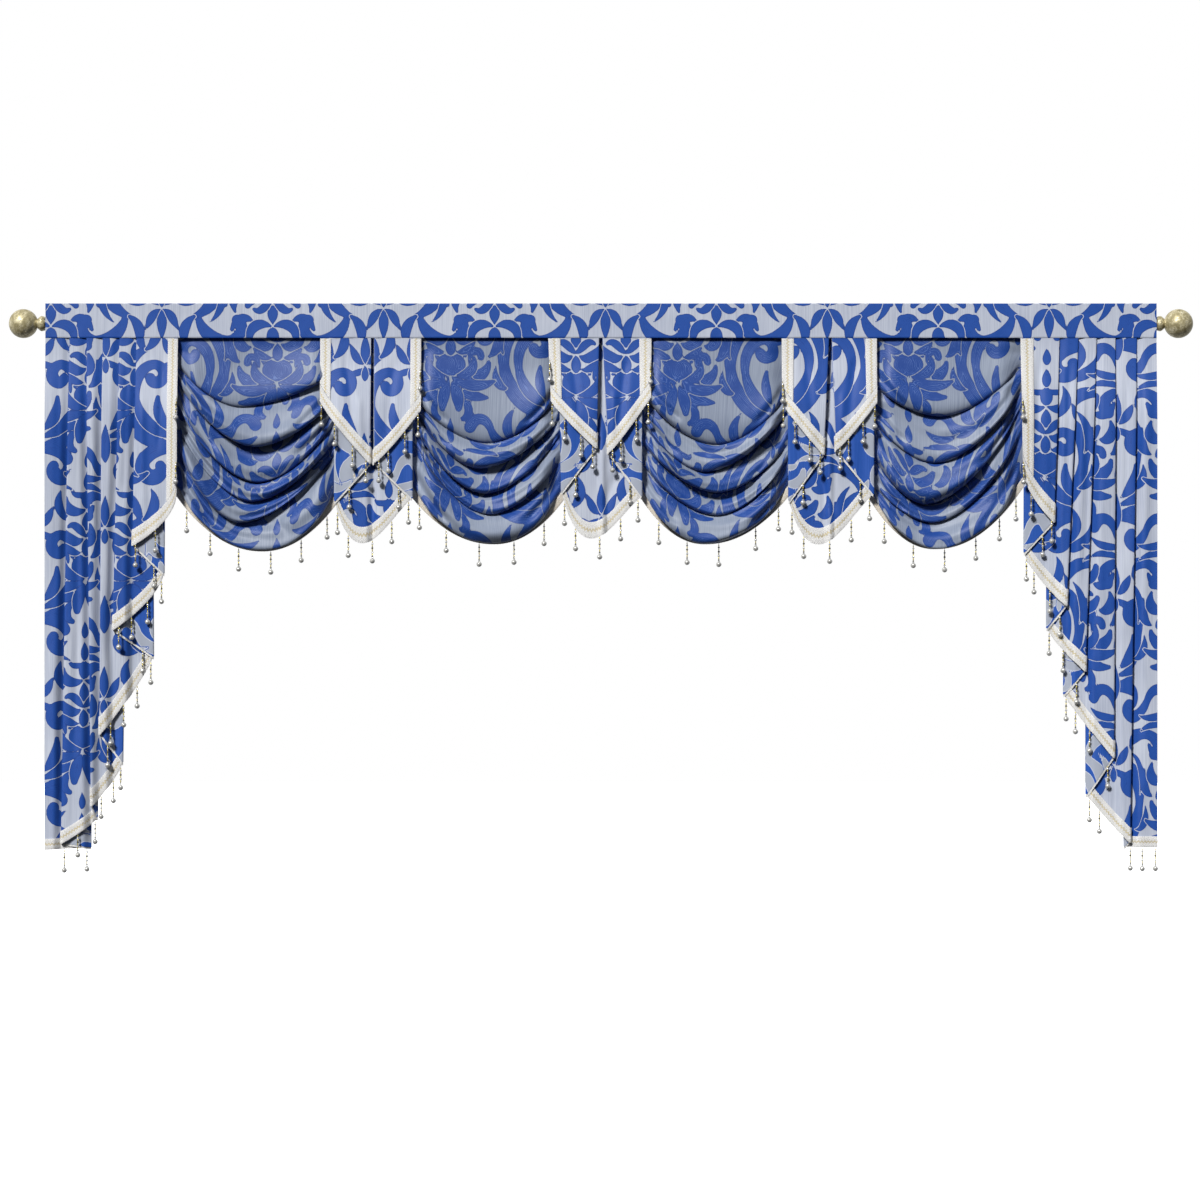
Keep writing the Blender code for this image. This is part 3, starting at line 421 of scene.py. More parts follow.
def jacquard(name, figure, outline, fine, ground, ground_low, back_field, back_figure, back_edge, roughness):
    """The woven damask as a material, in the given colours of yarn."""
    material, tree, shader = new_material(
        name, Roughness=roughness, Sheen_Weight=0.10, Sheen_Roughness=0.35, Sheen_Tint="#D9DEEA",
        Specular_IOR_Level=0.3,
    )
    cloth = add_node(tree, "UVMap", uv_map="cloth")
    woven = add_node(tree, "Attribute", output="Vector", attribute_name="damask")
    layers = add_node(tree, "SeparateXYZ", {0: woven}, output=None)
    depth = layers[0]
    for over in (layers[1], layers[2]):
        shown = add_node(tree, "Math", {0: over, 1: -PALE_GAP_MM}, operation="GREATER_THAN")
        depth = add_node(tree, "Mix", {0: shown, 2: depth, 3: over})
    threads = add_node(tree, "TexNoise", {"Vector": cloth, "Scale": THREAD_SCALE, "Detail": 1.0})
    depth = add_node(tree, "Math", {0: threads, 1: EDGE_STEP_MM, 2: depth}, operation="MULTIPLY_ADD")
    depth = add_node(tree, "Math", {0: depth, 1: EDGE_STEP_MM / 2}, operation="SUBTRACT")
    edges = {"Value": depth, "From Min": -EDGE_SOFT_MM, "From Max": EDGE_SOFT_MM}
    inside = add_node(tree, "MapRange", edges, interpolation_type="SMOOTHSTEP")

    # Fine lines follow the edge inside each motif, patchily, and a darker outline runs round it.
    half_way = FINE_LINE_MM / 2
    line = add_node(tree, "Math", {0: depth, 1: half_way}, operation="PINGPONG")
    line = add_node(tree, "MapRange", {
        "Value": line, "From Min": half_way - 0.7, "From Max": half_way - 0.1, "To Max": 0.6,
    })
    patchy = add_node(tree, "TexNoise", {"Vector": cloth, "Scale": PATCH_SCALE, "Detail": 2.0})
    patchy = add_node(tree, "MapRange", {"Value": patchy, "From Min": 0.35, "From Max": 0.62})
    line = add_node(tree, "Math", {0: line, 1: patchy}, operation="MULTIPLY")
    edge = add_node(tree, "MapRange", {
        "Value": depth,
        "From Min": OUTLINE_MM - EDGE_SOFT_MM,
        "From Max": OUTLINE_MM + EDGE_SOFT_MM,
        "To Min": 1.0,
        "To Max": 0.0,
    })

    streaks = add_node(tree, "Mapping", {"Vector": cloth, "Scale": STREAK})
    streaks = add_node(tree, "TexNoise", {"Vector": streaks, "Scale": 1.0, "Detail": 3.0})
    broad = add_node(tree, "TexNoise", {"Vector": cloth, "Scale": SHADE_SCALE, "Detail": 2.0})
    tone = add_node(tree, "Mix", {0: 0.35, 2: streaks, 3: broad})
    ground_colour = add_node(tree, "ValToRGB", {0: tone}, stops=((0.32, ground_low), (0.60, ground)))

    drawn = add_node(tree, "MixRGB", {0: line, 1: figure, 2: fine})
    drawn = add_node(tree, "MixRGB", {0: edge, 1: drawn, 2: outline})
    front = add_node(tree, "MixRGB", {0: inside, 1: ground_colour, 2: drawn})
    # The two colours change places on the reverse: grey figures, edged paler, on plain blue.
    faint = add_node(tree, "ValToRGB", {0: streaks}, stops=((0.30, figure), (0.62, back_field)))
    worn = add_node(tree, "MixRGB", {0: edge, 1: back_figure, 2: back_edge})
    back = add_node(tree, "MixRGB", {0: inside, 1: faint, 2: worn})
    behind = add_node(tree, "NewGeometry", output="Backfacing")
    turned = add_node(tree, "Attribute", output="Fac", attribute_name="turned")
    behind = add_node(tree, "Math", {0: behind, 1: turned}, operation="MAXIMUM")
    colour = add_node(tree, "MixRGB", {0: behind, 1: front, 2: back})
    tree.links.new(colour, shader.inputs["Base Color"])

    # The figure stands a little proud of the ribbed ground, and the threads of both show.
    ribs = add_node(
        tree, "TexWave", {"Vector": cloth, "Scale": math.pi / (10 * RIB_PITCH), "Distortion": 0.4}, "Fac",
        bands_direction="Y",
    )
    height = add_node(tree, "Math", {0: inside, 1: 0.7}, operation="MULTIPLY")
    height = add_node(tree, "Math", {0: ribs, 1: 0.3, 2: height}, operation="MULTIPLY_ADD")
    height = add_node(tree, "Math", {0: threads, 1: 0.5, 2: height}, operation="MULTIPLY_ADD")
    relief = add_node(tree, "Bump", {"Height": height, "Distance": 0.00025, "Strength": 0.55})
    tree.links.new(relief, shader.inputs["Normal"])
    return material


# On the heading, jabots and tails the cloth hangs flat to the light, pale and crisp.
jacquard_firm = jacquard(
    "satin_jacquard_firm", figure="#204C9D", outline="#173F88", fine="#153980", ground="#BEC3CF",
    ground_low="#A1A8BA", back_field="#2A57AC", back_figure="#A3A9B6", back_edge="#C6CAD4", roughness=0.50,
)


def heading_path():
    """The strip's middle line as (y, z), from the back of the seam round to it again."""
    half = BAND_CLOTH / 2
    inner = ROD_RADIUS + GAP
    front = -inner - 2 * GAP - BAND_CLOTH + half
    header_back = front + BAND_CLOTH + GAP
    floor = SEAM + half
    back_foot = front + SEAM_DEPTH - BAND_CLOTH
    over = inner + half
    fold = (header_back - front) / 2
    crown = BAND_TOP - fold - half
    lift = math.acos(header_back / over)
    path = [
        (back_foot, floor + TUCK_UP),
        (front + FOOT_ROUND, floor + TUCK_UP),
        (front + FOOT_ROUND / 2, floor),
        (front, floor + FOOT_RISE),
    ]
    path += [(front, z) for z in np.arange(floor + CLOTH_GRID, crown, CLOTH_GRID * 0.75)]
    for turn in np.linspace(math.pi, 0.0, 7):
        path.append((front + fold + fold * math.cos(turn), crown + fold * math.sin(turn)))
    joint = over * math.sin(lift)
    path += [(header_back, z) for z in np.arange(BAND_TOP - HEADER_TURN, joint, -CLOTH_GRID)]
    # Over the rod, and down behind it in a slack curve to the seam.
    for turn in np.linspace(lift, 0.0, 10):
        path.append((over * math.cos(turn), over * math.sin(turn)))
    for t in np.linspace(0.0, 1.0, 9)[1:]:
        y = mix(over, mix(over, back_foot, t), t)
        z = 2 * t * (1 - t) * POCKET_SAG * floor + t * t * (floor + TUCK_UP + SEAM_TURN)
        path.append((y, z))
    return np.array(path)


path = heading_path()
along = np.concatenate([[0.0], np.cumsum(np.linalg.norm(np.diff(path, axis=0), axis=1))])
x = np.linspace(-DRAPE_WIDTH / 2, DRAPE_WIDTH / 2, round(DRAPE_WIDTH / CLOTH_GRID))
grid = np.empty((len(x), len(path), 3))
grid[..., 0] = x[:, None]
grid[..., 1:] = path
# Sewn through all the gathers, the seam puckers a little, less and less above it.
pucker = np.sin(x / 0.0061 + 2.0 * np.sin(x / 0.043)) * (0.6 + 0.4 * np.sin(x / 0.11))
rise = (grid[..., 2] - SEAM) / PUCKER_ABOVE
on_face = (np.arange(len(path)) < FACE_ROWS) * 1.0
grid[..., 1] -= PUCKER * pucker[:, None] * (1 - smooth(rise)) * on_face
# The header isn't quite flat: it leans to and fro by under a millimetre along the rod.
wander = LEAN * np.sin(x / 0.083) * np.sin(x / 0.31 + 1.0)
grid[..., 1] += wander[:, None] * smooth((grid[..., 2] - HEADER_FOOT) / 0.03) * (grid[..., 1] < -0.010)
# The strip is cut the other way up from the swags: its palmettes stand on their heads.
# Lengths on it are counted from the foot of its face.
uv = np.empty(grid.shape[:2] + (2,))
uv[..., 0] = x[:, None]
uv[..., 1] = along - along[3]
mesh = grid_mesh("heading_band", grid, uv, flip=True)
weave_damask(mesh, uv, axis=HEADING_PATTERN[0], drop=HEADING_PATTERN[1])
heading = add_piece("heading_band", mesh, [jacquard_firm], "heading")

# ------------------------------------------------------------------------- swags
# Four gathered cloths, each pleated up into its two sides so that its folds hang
# between them in curves. The pleats are stitched into the seam of the heading, and
# the side edges are tucked behind the jabots and tails.

CLOTH = 0.0013
CLOTH_TOP = SEAM - 0.0004
SWAG_BACK = -0.0045  # middle plane of a swag at the seam
SWAG_SWING = 0.007  # how far its middle leaves the seam's plane as it falls
SWAG_SWING_BELOW = 0.30
OVERHANG = 1.25  # how far a fold's belly rolls down over the valley below it
SIDE_RECESS = 0.009  # how far back the cloth goes behind the braid beside it
SIDE_WIDTH = 0.050  # and how wide that stretch is
SIDE_BELOW = 0.035  # and how soon below the seam it gets there
# How a valley rises from its lowest point to the braid: 1 would be straight, 2 is a
# parabola. The hem is the rounder.
FOLD_CURVE = 1.8
HEM_CURVE = 2.1
# How low on its fold a belly lies: 1 would be half-way down. The long first fold's
# lies lowest, and the others' wanders a little.
FIRST_FOLD_LAG = 2.0
FOLD_LAG = 1.7
LAG_WANDER = 0.35
# How tightly a belly is rounded: the higher, the narrower it is.
FIRST_FOLD_ROUND = 1.9
FOLD_ROUND = 1.35
SWELL = 0.28  # how much more a belly swells in one place along it than in another
FULLNESS = 1.15  # depth of the folds, as a share of what the valleys' table says
HEM_FROM = 0.76  # where the last fold's belly ends and its straight hem begins
HEM_BAND = 0.027  # drop of that hem, which the belly hangs over
HEM_SHOWN = (0.001, 0.012)  # what shows of it below the belly: in the middle, at the sides
HEM_WAVE = 0.0012

# A valley between two folds: its drop where it meets the braid at either side and
# at its lowest point, and the depth of the fold above it. The last is the hem. A place
# is where those braids run, and how far the swag goes on behind them.
Valley = namedtuple("Valley", "left low_x low right depth")
Place = namedtuple("Place", "left right tuck_left tuck_right")

SWAG_PLACES = {
    "swag_1": Place(left=-0.949, right=-0.598, tuck_left=0.034, tuck_right=0.018),
    "swag_2": Place(left=-0.420, right=-0.095, tuck_left=0.018, tuck_right=0.018),
    "swag_3": Place(left=0.092, right=0.417, tuck_left=0.018, tuck_right=0.018),
    "swag_4": Place(left=0.612, right=0.938, tuck_left=0.018, tuck_right=0.034),
}
SWAG_VALLEYS = {
    "swag_1": (
        Valley(left=0.063, low_x=-0.808, low=0.150, right=0.081, depth=0.020),
        Valley(left=0.101, low_x=-0.775, low=0.242, right=0.141, depth=0.028),
        Valley(left=0.157, low_x=-0.768, low=0.322, right=0.190, depth=0.028),
        Valley(left=0.204, low_x=-0.781, low=0.365, right=0.231, depth=0.020),
        Valley(left=0.255, low_x=-0.808, low=0.412, right=0.260, depth=0.020),
        Valley(left=0.358, low_x=-0.759, low=0.477, right=0.376, depth=0.024),
    ),
    "swag_2": (
        Valley(left=0.134, low_x=-0.255, low=0.231, right=0.134, depth=0.026),
        Valley(left=0.157, low_x=-0.271, low=0.291, right=0.184, depth=0.024),
        Valley(left=0.197, low_x=-0.260, low=0.347, right=0.224, depth=0.024),
        Valley(left=0.231, low_x=-0.249, low=0.394, right=0.280, depth=0.022),
        Valley(left=0.361, low_x=-0.240, low=0.461, right=0.376, depth=0.026),
    ),
    "swag_3": (
        Valley(left=0.125, low_x=0.260, low=0.235, right=0.132, depth=0.026),
        Valley(left=0.186, low_x=0.233, low=0.298, right=0.170, depth=0.024),
        Valley(left=0.235, low_x=0.260, low=0.345, right=0.240, depth=0.024),
        Valley(left=0.282, low_x=0.260, low=0.396, right=0.275, depth=0.022),
        Valley(left=0.361, low_x=0.233, low=0.461, right=0.358, depth=0.026),
    ),
    "swag_4": (
        Valley(left=0.107, low_x=0.759, low=0.172, right=0.069, depth=0.020),
        Valley(left=0.186, low_x=0.748, low=0.278, right=0.125, depth=0.028),
        Valley(left=0.266, low_x=0.725, low=0.370, right=0.168, depth=0.028),
        Valley(left=0.329, low_x=0.742, low=0.412, right=0.227, depth=0.020),
        Valley(left=0.374, low_x=0.748, low=0.472, right=0.347, depth=0.024),
    ),
}
# Where the palmette's axis stands on each swag, and the drop of its base.
SWAG_PATTERNS = {
    "swag_1": (-0.725, 0.112),
    "swag_2": (-0.336, 0.100),
    "swag_3": (0.170, 0.112),
    "swag_4": (0.690, 0.100),
}
TUCKED = 0.014  # how far past the braid beside it a swag's folds begin
FREE_AFTER = 0.052  # how far from there they reach their full depth
SWAG_COLUMNS = 101  # of points across a swag
FIRST_ROWS = 57  # of points down the first fold, which is the longest
FOLD_ROWS = 29  # and down each of the others
LAST_ROWS = 48  # but down the last with its hem
DRAW = 0.0035  # depth of the lesser draws along a fold
FIRST_DRAW = 0.35  # and the share of it on the first fold

# A soft trough (depth above 0) or ridge pressed into a cloth, along a bent line.
Crease = namedtuple("Crease", "x0 drop0 x1 drop1 bend width depth")
CREASE_FADE = 0.25  # share of its length over which it dies out at either end
SWAG_CREASES = {
    "swag_1": (
        Crease(-0.946, 0.070, -0.842, 0.178, -0.007, 0.007, 0.0075),
        Crease(-0.944, 0.126, -0.850, 0.262, -0.009, 0.008, 0.0120),
        Crease(-0.946, 0.180, -0.838, 0.330, -0.010, 0.007, 0.0105),
        Crease(-0.942, 0.232, -0.866, 0.356, -0.008, 0.006, -0.0075),
        Crease(-0.944, 0.292, -0.846, 0.436, -0.010, 0.009, 0.0105),
        Crease(-0.602, 0.112, -0.700, 0.212, 0.008, 0.008, 0.0090),
        Crease(-0.600, 0.162, -0.690, 0.268, 0.009, 0.006, 0.0105),
        Crease(-0.604, 0.212, -0.712, 0.340, 0.012, 0.008, -0.0075),
        Crease(-0.600, 0.250, -0.700, 0.378, 0.010, 0.007, 0.0105),
        Crease(-0.770, 0.420, -0.690, 0.432, 0.006, 0.012, 0.0060),
    ),
    "swag_2": (
        Crease(-0.418, 0.090, -0.330, 0.196, -0.008, 0.008, 0.0075),
        Crease(-0.420, 0.146, -0.330, 0.250, -0.010, 0.007, 0.0120),
        Crease(-0.416, 0.180, -0.342, 0.300, -0.009, 0.008, 0.0090),
        Crease(-0.418, 0.216, -0.350, 0.350, -0.008, 0.006, -0.0075),
        Crease(-0.420, 0.285, -0.330, 0.424, -0.010, 0.009, 0.0120),
        Crease(-0.097, 0.100, -0.180, 0.198, 0.008, 0.007, 0.0090),
        Crease(-0.095, 0.158, -0.190, 0.268, 0.010, 0.008, 0.0105),
        Crease(-0.099, 0.206, -0.172, 0.318, 0.008, 0.006, 0.0105),
        Crease(-0.096, 0.304, -0.180, 0.420, 0.009, 0.009, 0.0090),
    ),
    "swag_3": (
        Crease(0.094, 0.084, 0.186, 0.190, -0.008, 0.008, 0.0090),
        Crease(0.092, 0.152, 0.176, 0.262, -0.010, 0.007, 0.0105),
        Crease(0.096, 0.208, 0.186, 0.318, -0.009, 0.007, 0.0120),
        Crease(0.093, 0.300, 0.182, 0.424, -0.010, 0.009, 0.0090),
        Crease(0.415, 0.094, 0.334, 0.200, 0.008, 0.008, 0.0075),
        Crease(0.417, 0.150, 0.330, 0.262, 0.009, 0.006, 0.0120),
        Crease(0.413, 0.204, 0.322, 0.320, 0.010, 0.008, 0.0090),
        Crease(0.416, 0.256, 0.340, 0.368, 0.008, 0.006, -0.0075),
        Crease(0.415, 0.312, 0.326, 0.428, 0.009, 0.009, 0.0105),
    ),
    "swag_4": (
        Crease(0.614, 0.066, 0.700, 0.164, -0.007, 0.007, 0.0075),
        Crease(0.612, 0.142, 0.694, 0.240, -0.009, 0.008, 0.0120),
        Crease(0.616, 0.222, 0.700, 0.330, -0.009, 0.007, 0.0090),
        Crease(0.613, 0.296, 0.690, 0.392, -0.008, 0.007, 0.0105),
        Crease(0.934, 0.094, 0.832, 0.214, 0.009, 0.008, 0.0105),
        Crease(0.936, 0.146, 0.836, 0.296, 0.010, 0.007, 0.0120),
        Crease(0.932, 0.196, 0.842, 0.346, 0.009, 0.006, -0.0075),
        Crease(0.935, 0.280, 0.838, 0.430, 0.010, 0.009, 0.0105),
    ),
}


def pressed(x, drop, creases):
    """How far back the creases push each place on a cloth."""
    sunk = np.zeros(x.shape)
    for crease in creases:
        dx, dz = crease.x1 - crease.x0, crease.drop1 - crease.drop0
        length = math.hypot(dx, dz)
        along = ((x - crease.x0) * dx + (drop - crease.drop0) * dz) / length**2
        across = ((x - crease.x0) * dz - (drop - crease.drop0) * dx) / length
        across = across - crease.bend * 4 * along * (1 - along)
        fade = smooth(along / CREASE_FADE) * smooth((1 - along) / CREASE_FADE)
        sunk = sunk + crease.depth * fade * np.exp(-((across / crease.width) ** 2))
    return sunk


def line_drop(place, line, x, curve):
    """The drop of a valley at x, and how far x is from its lowest point to the braid."""
    left = x < line.low_x
    side = np.where(left, place.left, place.right)
    high = np.where(left, line.left, line.right)
    reach = np.abs(x - line.low_x) / np.abs(side - line.low_x)
    return mix(line.low, high, reach**curve), reach


def swag_surface(name, x, fold, t):
    """Places t of the way down one fold of a swag, in a grid of x by t."""
    place = SWAG_PLACES[name]
    sides = (place.left - place.tuck_left, place.right + place.tuck_right)
    seam = Valley(left=0.0, low_x=sum(sides) / 2, low=0.0, right=0.0, depth=0.0)
    lines = (seam,) + SWAG_VALLEYS[name]
    above, below = lines[fold], lines[fold + 1]
    first, last = fold == 0, fold == len(lines) - 2
    x, t = np.broadcast_arrays(x[:, None], t[None, :])
    share_across = (x - sides[0]) / (sides[1] - sides[0])
    full = np.maximum(4 * share_across * (1 - share_across), 0.0)
    # The folds are at their full depth soon after they leave the stitched pleats.
    free = smooth((x - place.left + TUCKED) / FREE_AFTER) * smooth((place.right - x + TUCKED) / FREE_AFTER)
    hem = 0.0
    if last:
        hem = np.maximum(t - HEM_FROM, 0.0) / (1 - HEM_FROM)
        t = np.minimum(t / HEM_FROM, 1.0)
    high = line_drop(place, above, x, FOLD_CURVE)[0]
    low, reach = line_drop(place, below, x, HEM_CURVE if last else FOLD_CURVE)
    share = t - OVERHANG * free / (2 * math.pi) * np.sin(2 * math.pi * t)
    drop = mix(high, low - HEM_BAND * last, share) + HEM_BAND * hem
    if last:
        # The belly droops over the hem, which the beads pull straight.
        shown = mix(*HEM_SHOWN, np.minimum(reach, 1.0) ** 1.5) + HEM_WAVE * np.sin(x / 0.021)
        drop = drop + (HEM_BAND - shown) * np.sqrt(free) * np.sin(math.pi * t**3)
    # Each belly lies low on its fold, round above and undercut beneath. Along it the
    # belly wanders up and down and swells more in one place than in another.
    lag = FIRST_FOLD_LAG
    if not first:
        lag = FOLD_LAG + LAG_WANDER * np.sin(8.5 * x + 1.9 * fold + place.left)
    bulge = np.sin(math.pi * t**lag) ** (FIRST_FOLD_ROUND if first else FOLD_ROUND)
    bulge = bulge * (1 + SWELL * np.sin(11 * x + 2.6 * fold + 1))
    y = SWAG_BACK - SWAG_SWING * full * smooth(drop / SWAG_SWING_BELOW)
    y = y - FULLNESS * below.depth * free * bulge + pressed(x, drop, SWAG_CREASES[name])
    beside = np.minimum(x - place.left, place.right - x) / SIDE_WIDTH
    y = y + SIDE_RECESS * (1 - smooth(beside)) * smooth(drop / SIDE_BELOW)
    # Lesser draws run along each fold and die out before its valleys.
    draw = np.sin(14 * t + 9 * x + fold * 2.1) * np.sin(11 * x + 1.7 * fold)
    draw = draw + 0.6 * np.sin(25 * t - 17 * x + fold)
    y = y + DRAW * draw * free * np.sin(math.pi * t) ** 2 * (FIRST_DRAW if first else 1.0)
    return np.stack([x, y, CLOTH_TOP - drop], axis=-1)


def lengths_along(grid, axis):
    """Length on the cloth from the grid's first line, along one of its axes."""
    steps = np.linalg.norm(np.diff(grid, axis=axis), axis=-1)
    start = np.zeros_like(np.take(steps, [0], axis=axis))
    return np.concatenate([start, np.cumsum(steps, axis=axis)], axis=axis)


def flat_area(uv):
    """Area of the flat cloth, in square metres, from its uv grid."""
    a = uv[1:, 1:] - uv[:-1, :-1]
    b = uv[:-1, 1:] - uv[1:, :-1]
    return float(np.abs(a[..., 0] * b[..., 1] - a[..., 1] * b[..., 0]).sum() / 2)


# Drawn into folds on the bias, the same cloth is a little smoother, and it is drawn darker
# than on the heading. That darkness is painted shade, standing for the shade that fills the folds.
jacquard_shaded_copy = jacquard(
    "satin_jacquard_painted_shade", figure="#1F4289", outline="#193A7C", fine="#6682BC", ground="#8E97A7",
    ground_low="#6B758A", back_field="#2A57AC", back_figure="#A3A9B6", back_edge="#C6CAD4", roughness=0.44,
)

cloths, flats = {}, {}
for name, place in SWAG_PLACES.items():
    x = np.linspace(place.left - place.tuck_left, place.right + place.tuck_right, SWAG_COLUMNS)
    folds = len(SWAG_VALLEYS[name])
    counts = [FIRST_ROWS] + [FOLD_ROWS - 1] * (folds - 2) + [LAST_ROWS - 1]
    parts = []
    for fold, count in enumerate(counts):
        t = np.linspace(0.0, 1.0, count + (fold > 0))
        parts.append(swag_surface(name, x, fold, t[fold > 0 :]))
    grid = np.concatenate(parts, axis=1)
    grid[:, 0, 2] += TUCK_UP + SEAM_SLACK
    axis, base = SWAG_PATTERNS[name]
    middle = int(np.argmin(np.abs(x - axis)))
    across = lengths_along(grid, 0)
    down = lengths_along(grid, 1)
    uv = np.empty(grid.shape[:2] + (2,))
    uv[..., 0] = across - across[middle]
    # The pleats at the sides swallow cloth, so each fold shows the same band of it
    # all along: its belly keeps the middle's place, and only the valleys jump.
    first = 0
    for fold, count in enumerate(counts):
        belly = first + count // 2 if fold else 0
        rows = slice(first, first + count)
        uv[:, rows, 1] = down[middle, belly] + down[:, rows] - down[:, belly : belly + 1]
        first += count
    mesh = grid_mesh(name + "_cloth", grid, uv * (1, -1))
    weave_damask(mesh, uv, axis=0.0, drop=base)
    cloths[name] = add_piece(name + "_cloth", mesh, [jacquard_shaded_copy], name)
    # It's cut as a trapezoid, from the seam's width at its top to the hem's length.
    widths, length = across[-1], float(down[middle, -1])
    flats[name] = dict(
        flat=(float(widths.max()), length), area=float(widths[0] + widths[-1]) / 2 * length, held="gathered",
    )

# ------------------------------------------------------------------------ jabots
# Three short double jabots hide the joins between the swags. Each is one cloth,
# folded back and forth into two flaps in front of a centre panel that hangs down
# to a point, pressed, and sewn into the same seam.

FRONT = -0.0132  # middle plane of the front-most layer at the seam
TIGHT_PITCH = 0.0019  # between layers, pressed at the seam
LOOSE_PITCH = 0.0062  # between layers, from LOOSE_BELOW down
LOOSE_BELOW = 0.30
SETTLE = 0.018  # how soon a layer comes forward past the edge of the one before
SWING_BELOW = 0.20
JABOT_SWING = 0.018  # how far a jabot has left the seam's plane by SWING_BELOW
BRAID_WIDTH = 0.024
STEEPEST_BRAID = 1.6  # slope past which a braid no longer takes more of the drop
POINT_AT = 0.36  # how far across the centre panel its point hangs
POINT_SHARPNESS = 1.15
FOLD_TURN = 5  # points round each folded edge
RIPPLE = 0.0011  # depth of the soft upright ripples in a hanging layer
RECESS = 0.010  # how far the centre panel is drawn back between the flaps
RECESS_WIDTH = 0.030
RECESS_UNTIL = 0.15  # drop down to which it is, and how soon below that it no longer is
RECESS_FADE = 0.12
BELLY = 0.0025  # how far the front-most layer bows forward between its edges
CLOTH_ROWS = 0.0050  # between points down a pleated cloth
BRAID_ROWS = 5  # and the number of them under its braid

# An upright folded edge, from the seam to its foot. ease: below 1 where the foot of
# the layer that starts here falls away at once. A layer runs from one edge to the
# next; rank: how many lie in front of it; dip: how far its foot hangs to a point.
Edge = namedtuple("Edge", "x_top x_foot drop ease")
Layer = namedtuple("Layer", "start end rank dip")

JABOT_EDGES = {
    "jabot_1": (
        Edge(x_top=-0.629, x_foot=-0.629, drop=0.139, ease=0.85),
        Edge(x_top=-0.515, x_foot=-0.515, drop=0.280, ease=1.00),
        Edge(x_top=-0.598, x_foot=-0.598, drop=0.365, ease=1.00),
        Edge(x_top=-0.421, x_foot=-0.421, drop=0.358, ease=1.00),
        Edge(x_top=-0.509, x_foot=-0.509, drop=0.278, ease=1.18),
        Edge(x_top=-0.403, x_foot=-0.403, drop=0.161, ease=1.00),
    ),
    "jabot_2": (
        Edge(x_top=-0.118, x_foot=-0.112, drop=0.139, ease=0.85),
        Edge(x_top=-0.004, x_foot=-0.009, drop=0.246, ease=1.00),
        Edge(x_top=-0.095, x_foot=-0.090, drop=0.343, ease=1.00),
        Edge(x_top=0.092, x_foot=0.093, drop=0.354, ease=1.00),
        Edge(x_top=0.003, x_foot=0.015, drop=0.255, ease=1.18),
        Edge(x_top=0.113, x_foot=0.112, drop=0.132, ease=1.00),
    ),
    "jabot_3": (
        Edge(x_top=0.405, x_foot=0.405, drop=0.143, ease=0.85),
        Edge(x_top=0.511, x_foot=0.499, drop=0.260, ease=1.00),
        Edge(x_top=0.417, x_foot=0.419, drop=0.363, ease=1.00),
        Edge(x_top=0.612, x_foot=0.612, drop=0.349, ease=1.00),
        Edge(x_top=0.517, x_foot=0.524, drop=0.249, ease=1.18),
        Edge(x_top=0.618, x_foot=0.618, drop=0.143, ease=1.00),
    ),
}
JABOT_RANKS = (0, 1, 2, 1, 0)  # of its flap, return, centre panel, return and flap
JABOT_POINT = {"jabot_1": 0.095, "jabot_2": 0.100, "jabot_3": 0.102}
# Where a palmette's axis stands across each flat cloth, the drop of its base, and how
# much the weave has drawn in sideways.
JABOT_PATTERNS = {
    "jabot_1": (0.356, 0.178, 1.06),
    "jabot_2": (0.064, 0.132, 1.062),
    "jabot_3": (0.216, 0.098, 1.06),
}
JABOT_CREASES = {
    "jabot_1": (
        Crease(-0.578, 0.020, -0.556, 0.210, 0.004, 0.009, 0.0030),
        Crease(-0.540, 0.120, -0.530, 0.260, -0.003, 0.007, -0.0025),
        Crease(-0.458, 0.030, -0.476, 0.230, -0.004, 0.010, 0.0030),
        Crease(-0.560, 0.290, -0.500, 0.400, 0.005, 0.010, 0.0030),
    ),
    "jabot_2": (
        Crease(-0.070, 0.025, -0.052, 0.190, 0.004, 0.009, 0.0030),
        Crease(0.062, 0.020, 0.042, 0.210, -0.004, 0.009, 0.0030),
        Crease(0.028, 0.110, 0.022, 0.230, 0.003, 0.007, -0.0025),
        Crease(0.048, 0.280, 0.004, 0.400, -0.005, 0.010, 0.0030),
    ),
    "jabot_3": (
        Crease(0.452, 0.020, 0.474, 0.220, 0.004, 0.010, 0.0030),
        Crease(0.574, 0.030, 0.556, 0.200, -0.004, 0.009, 0.0030),
        Crease(0.540, 0.110, 0.532, 0.240, 0.003, 0.007, -0.0025),
        Crease(0.470, 0.280, 0.520, 0.400, 0.005, 0.010, 0.0030),
    ),
}


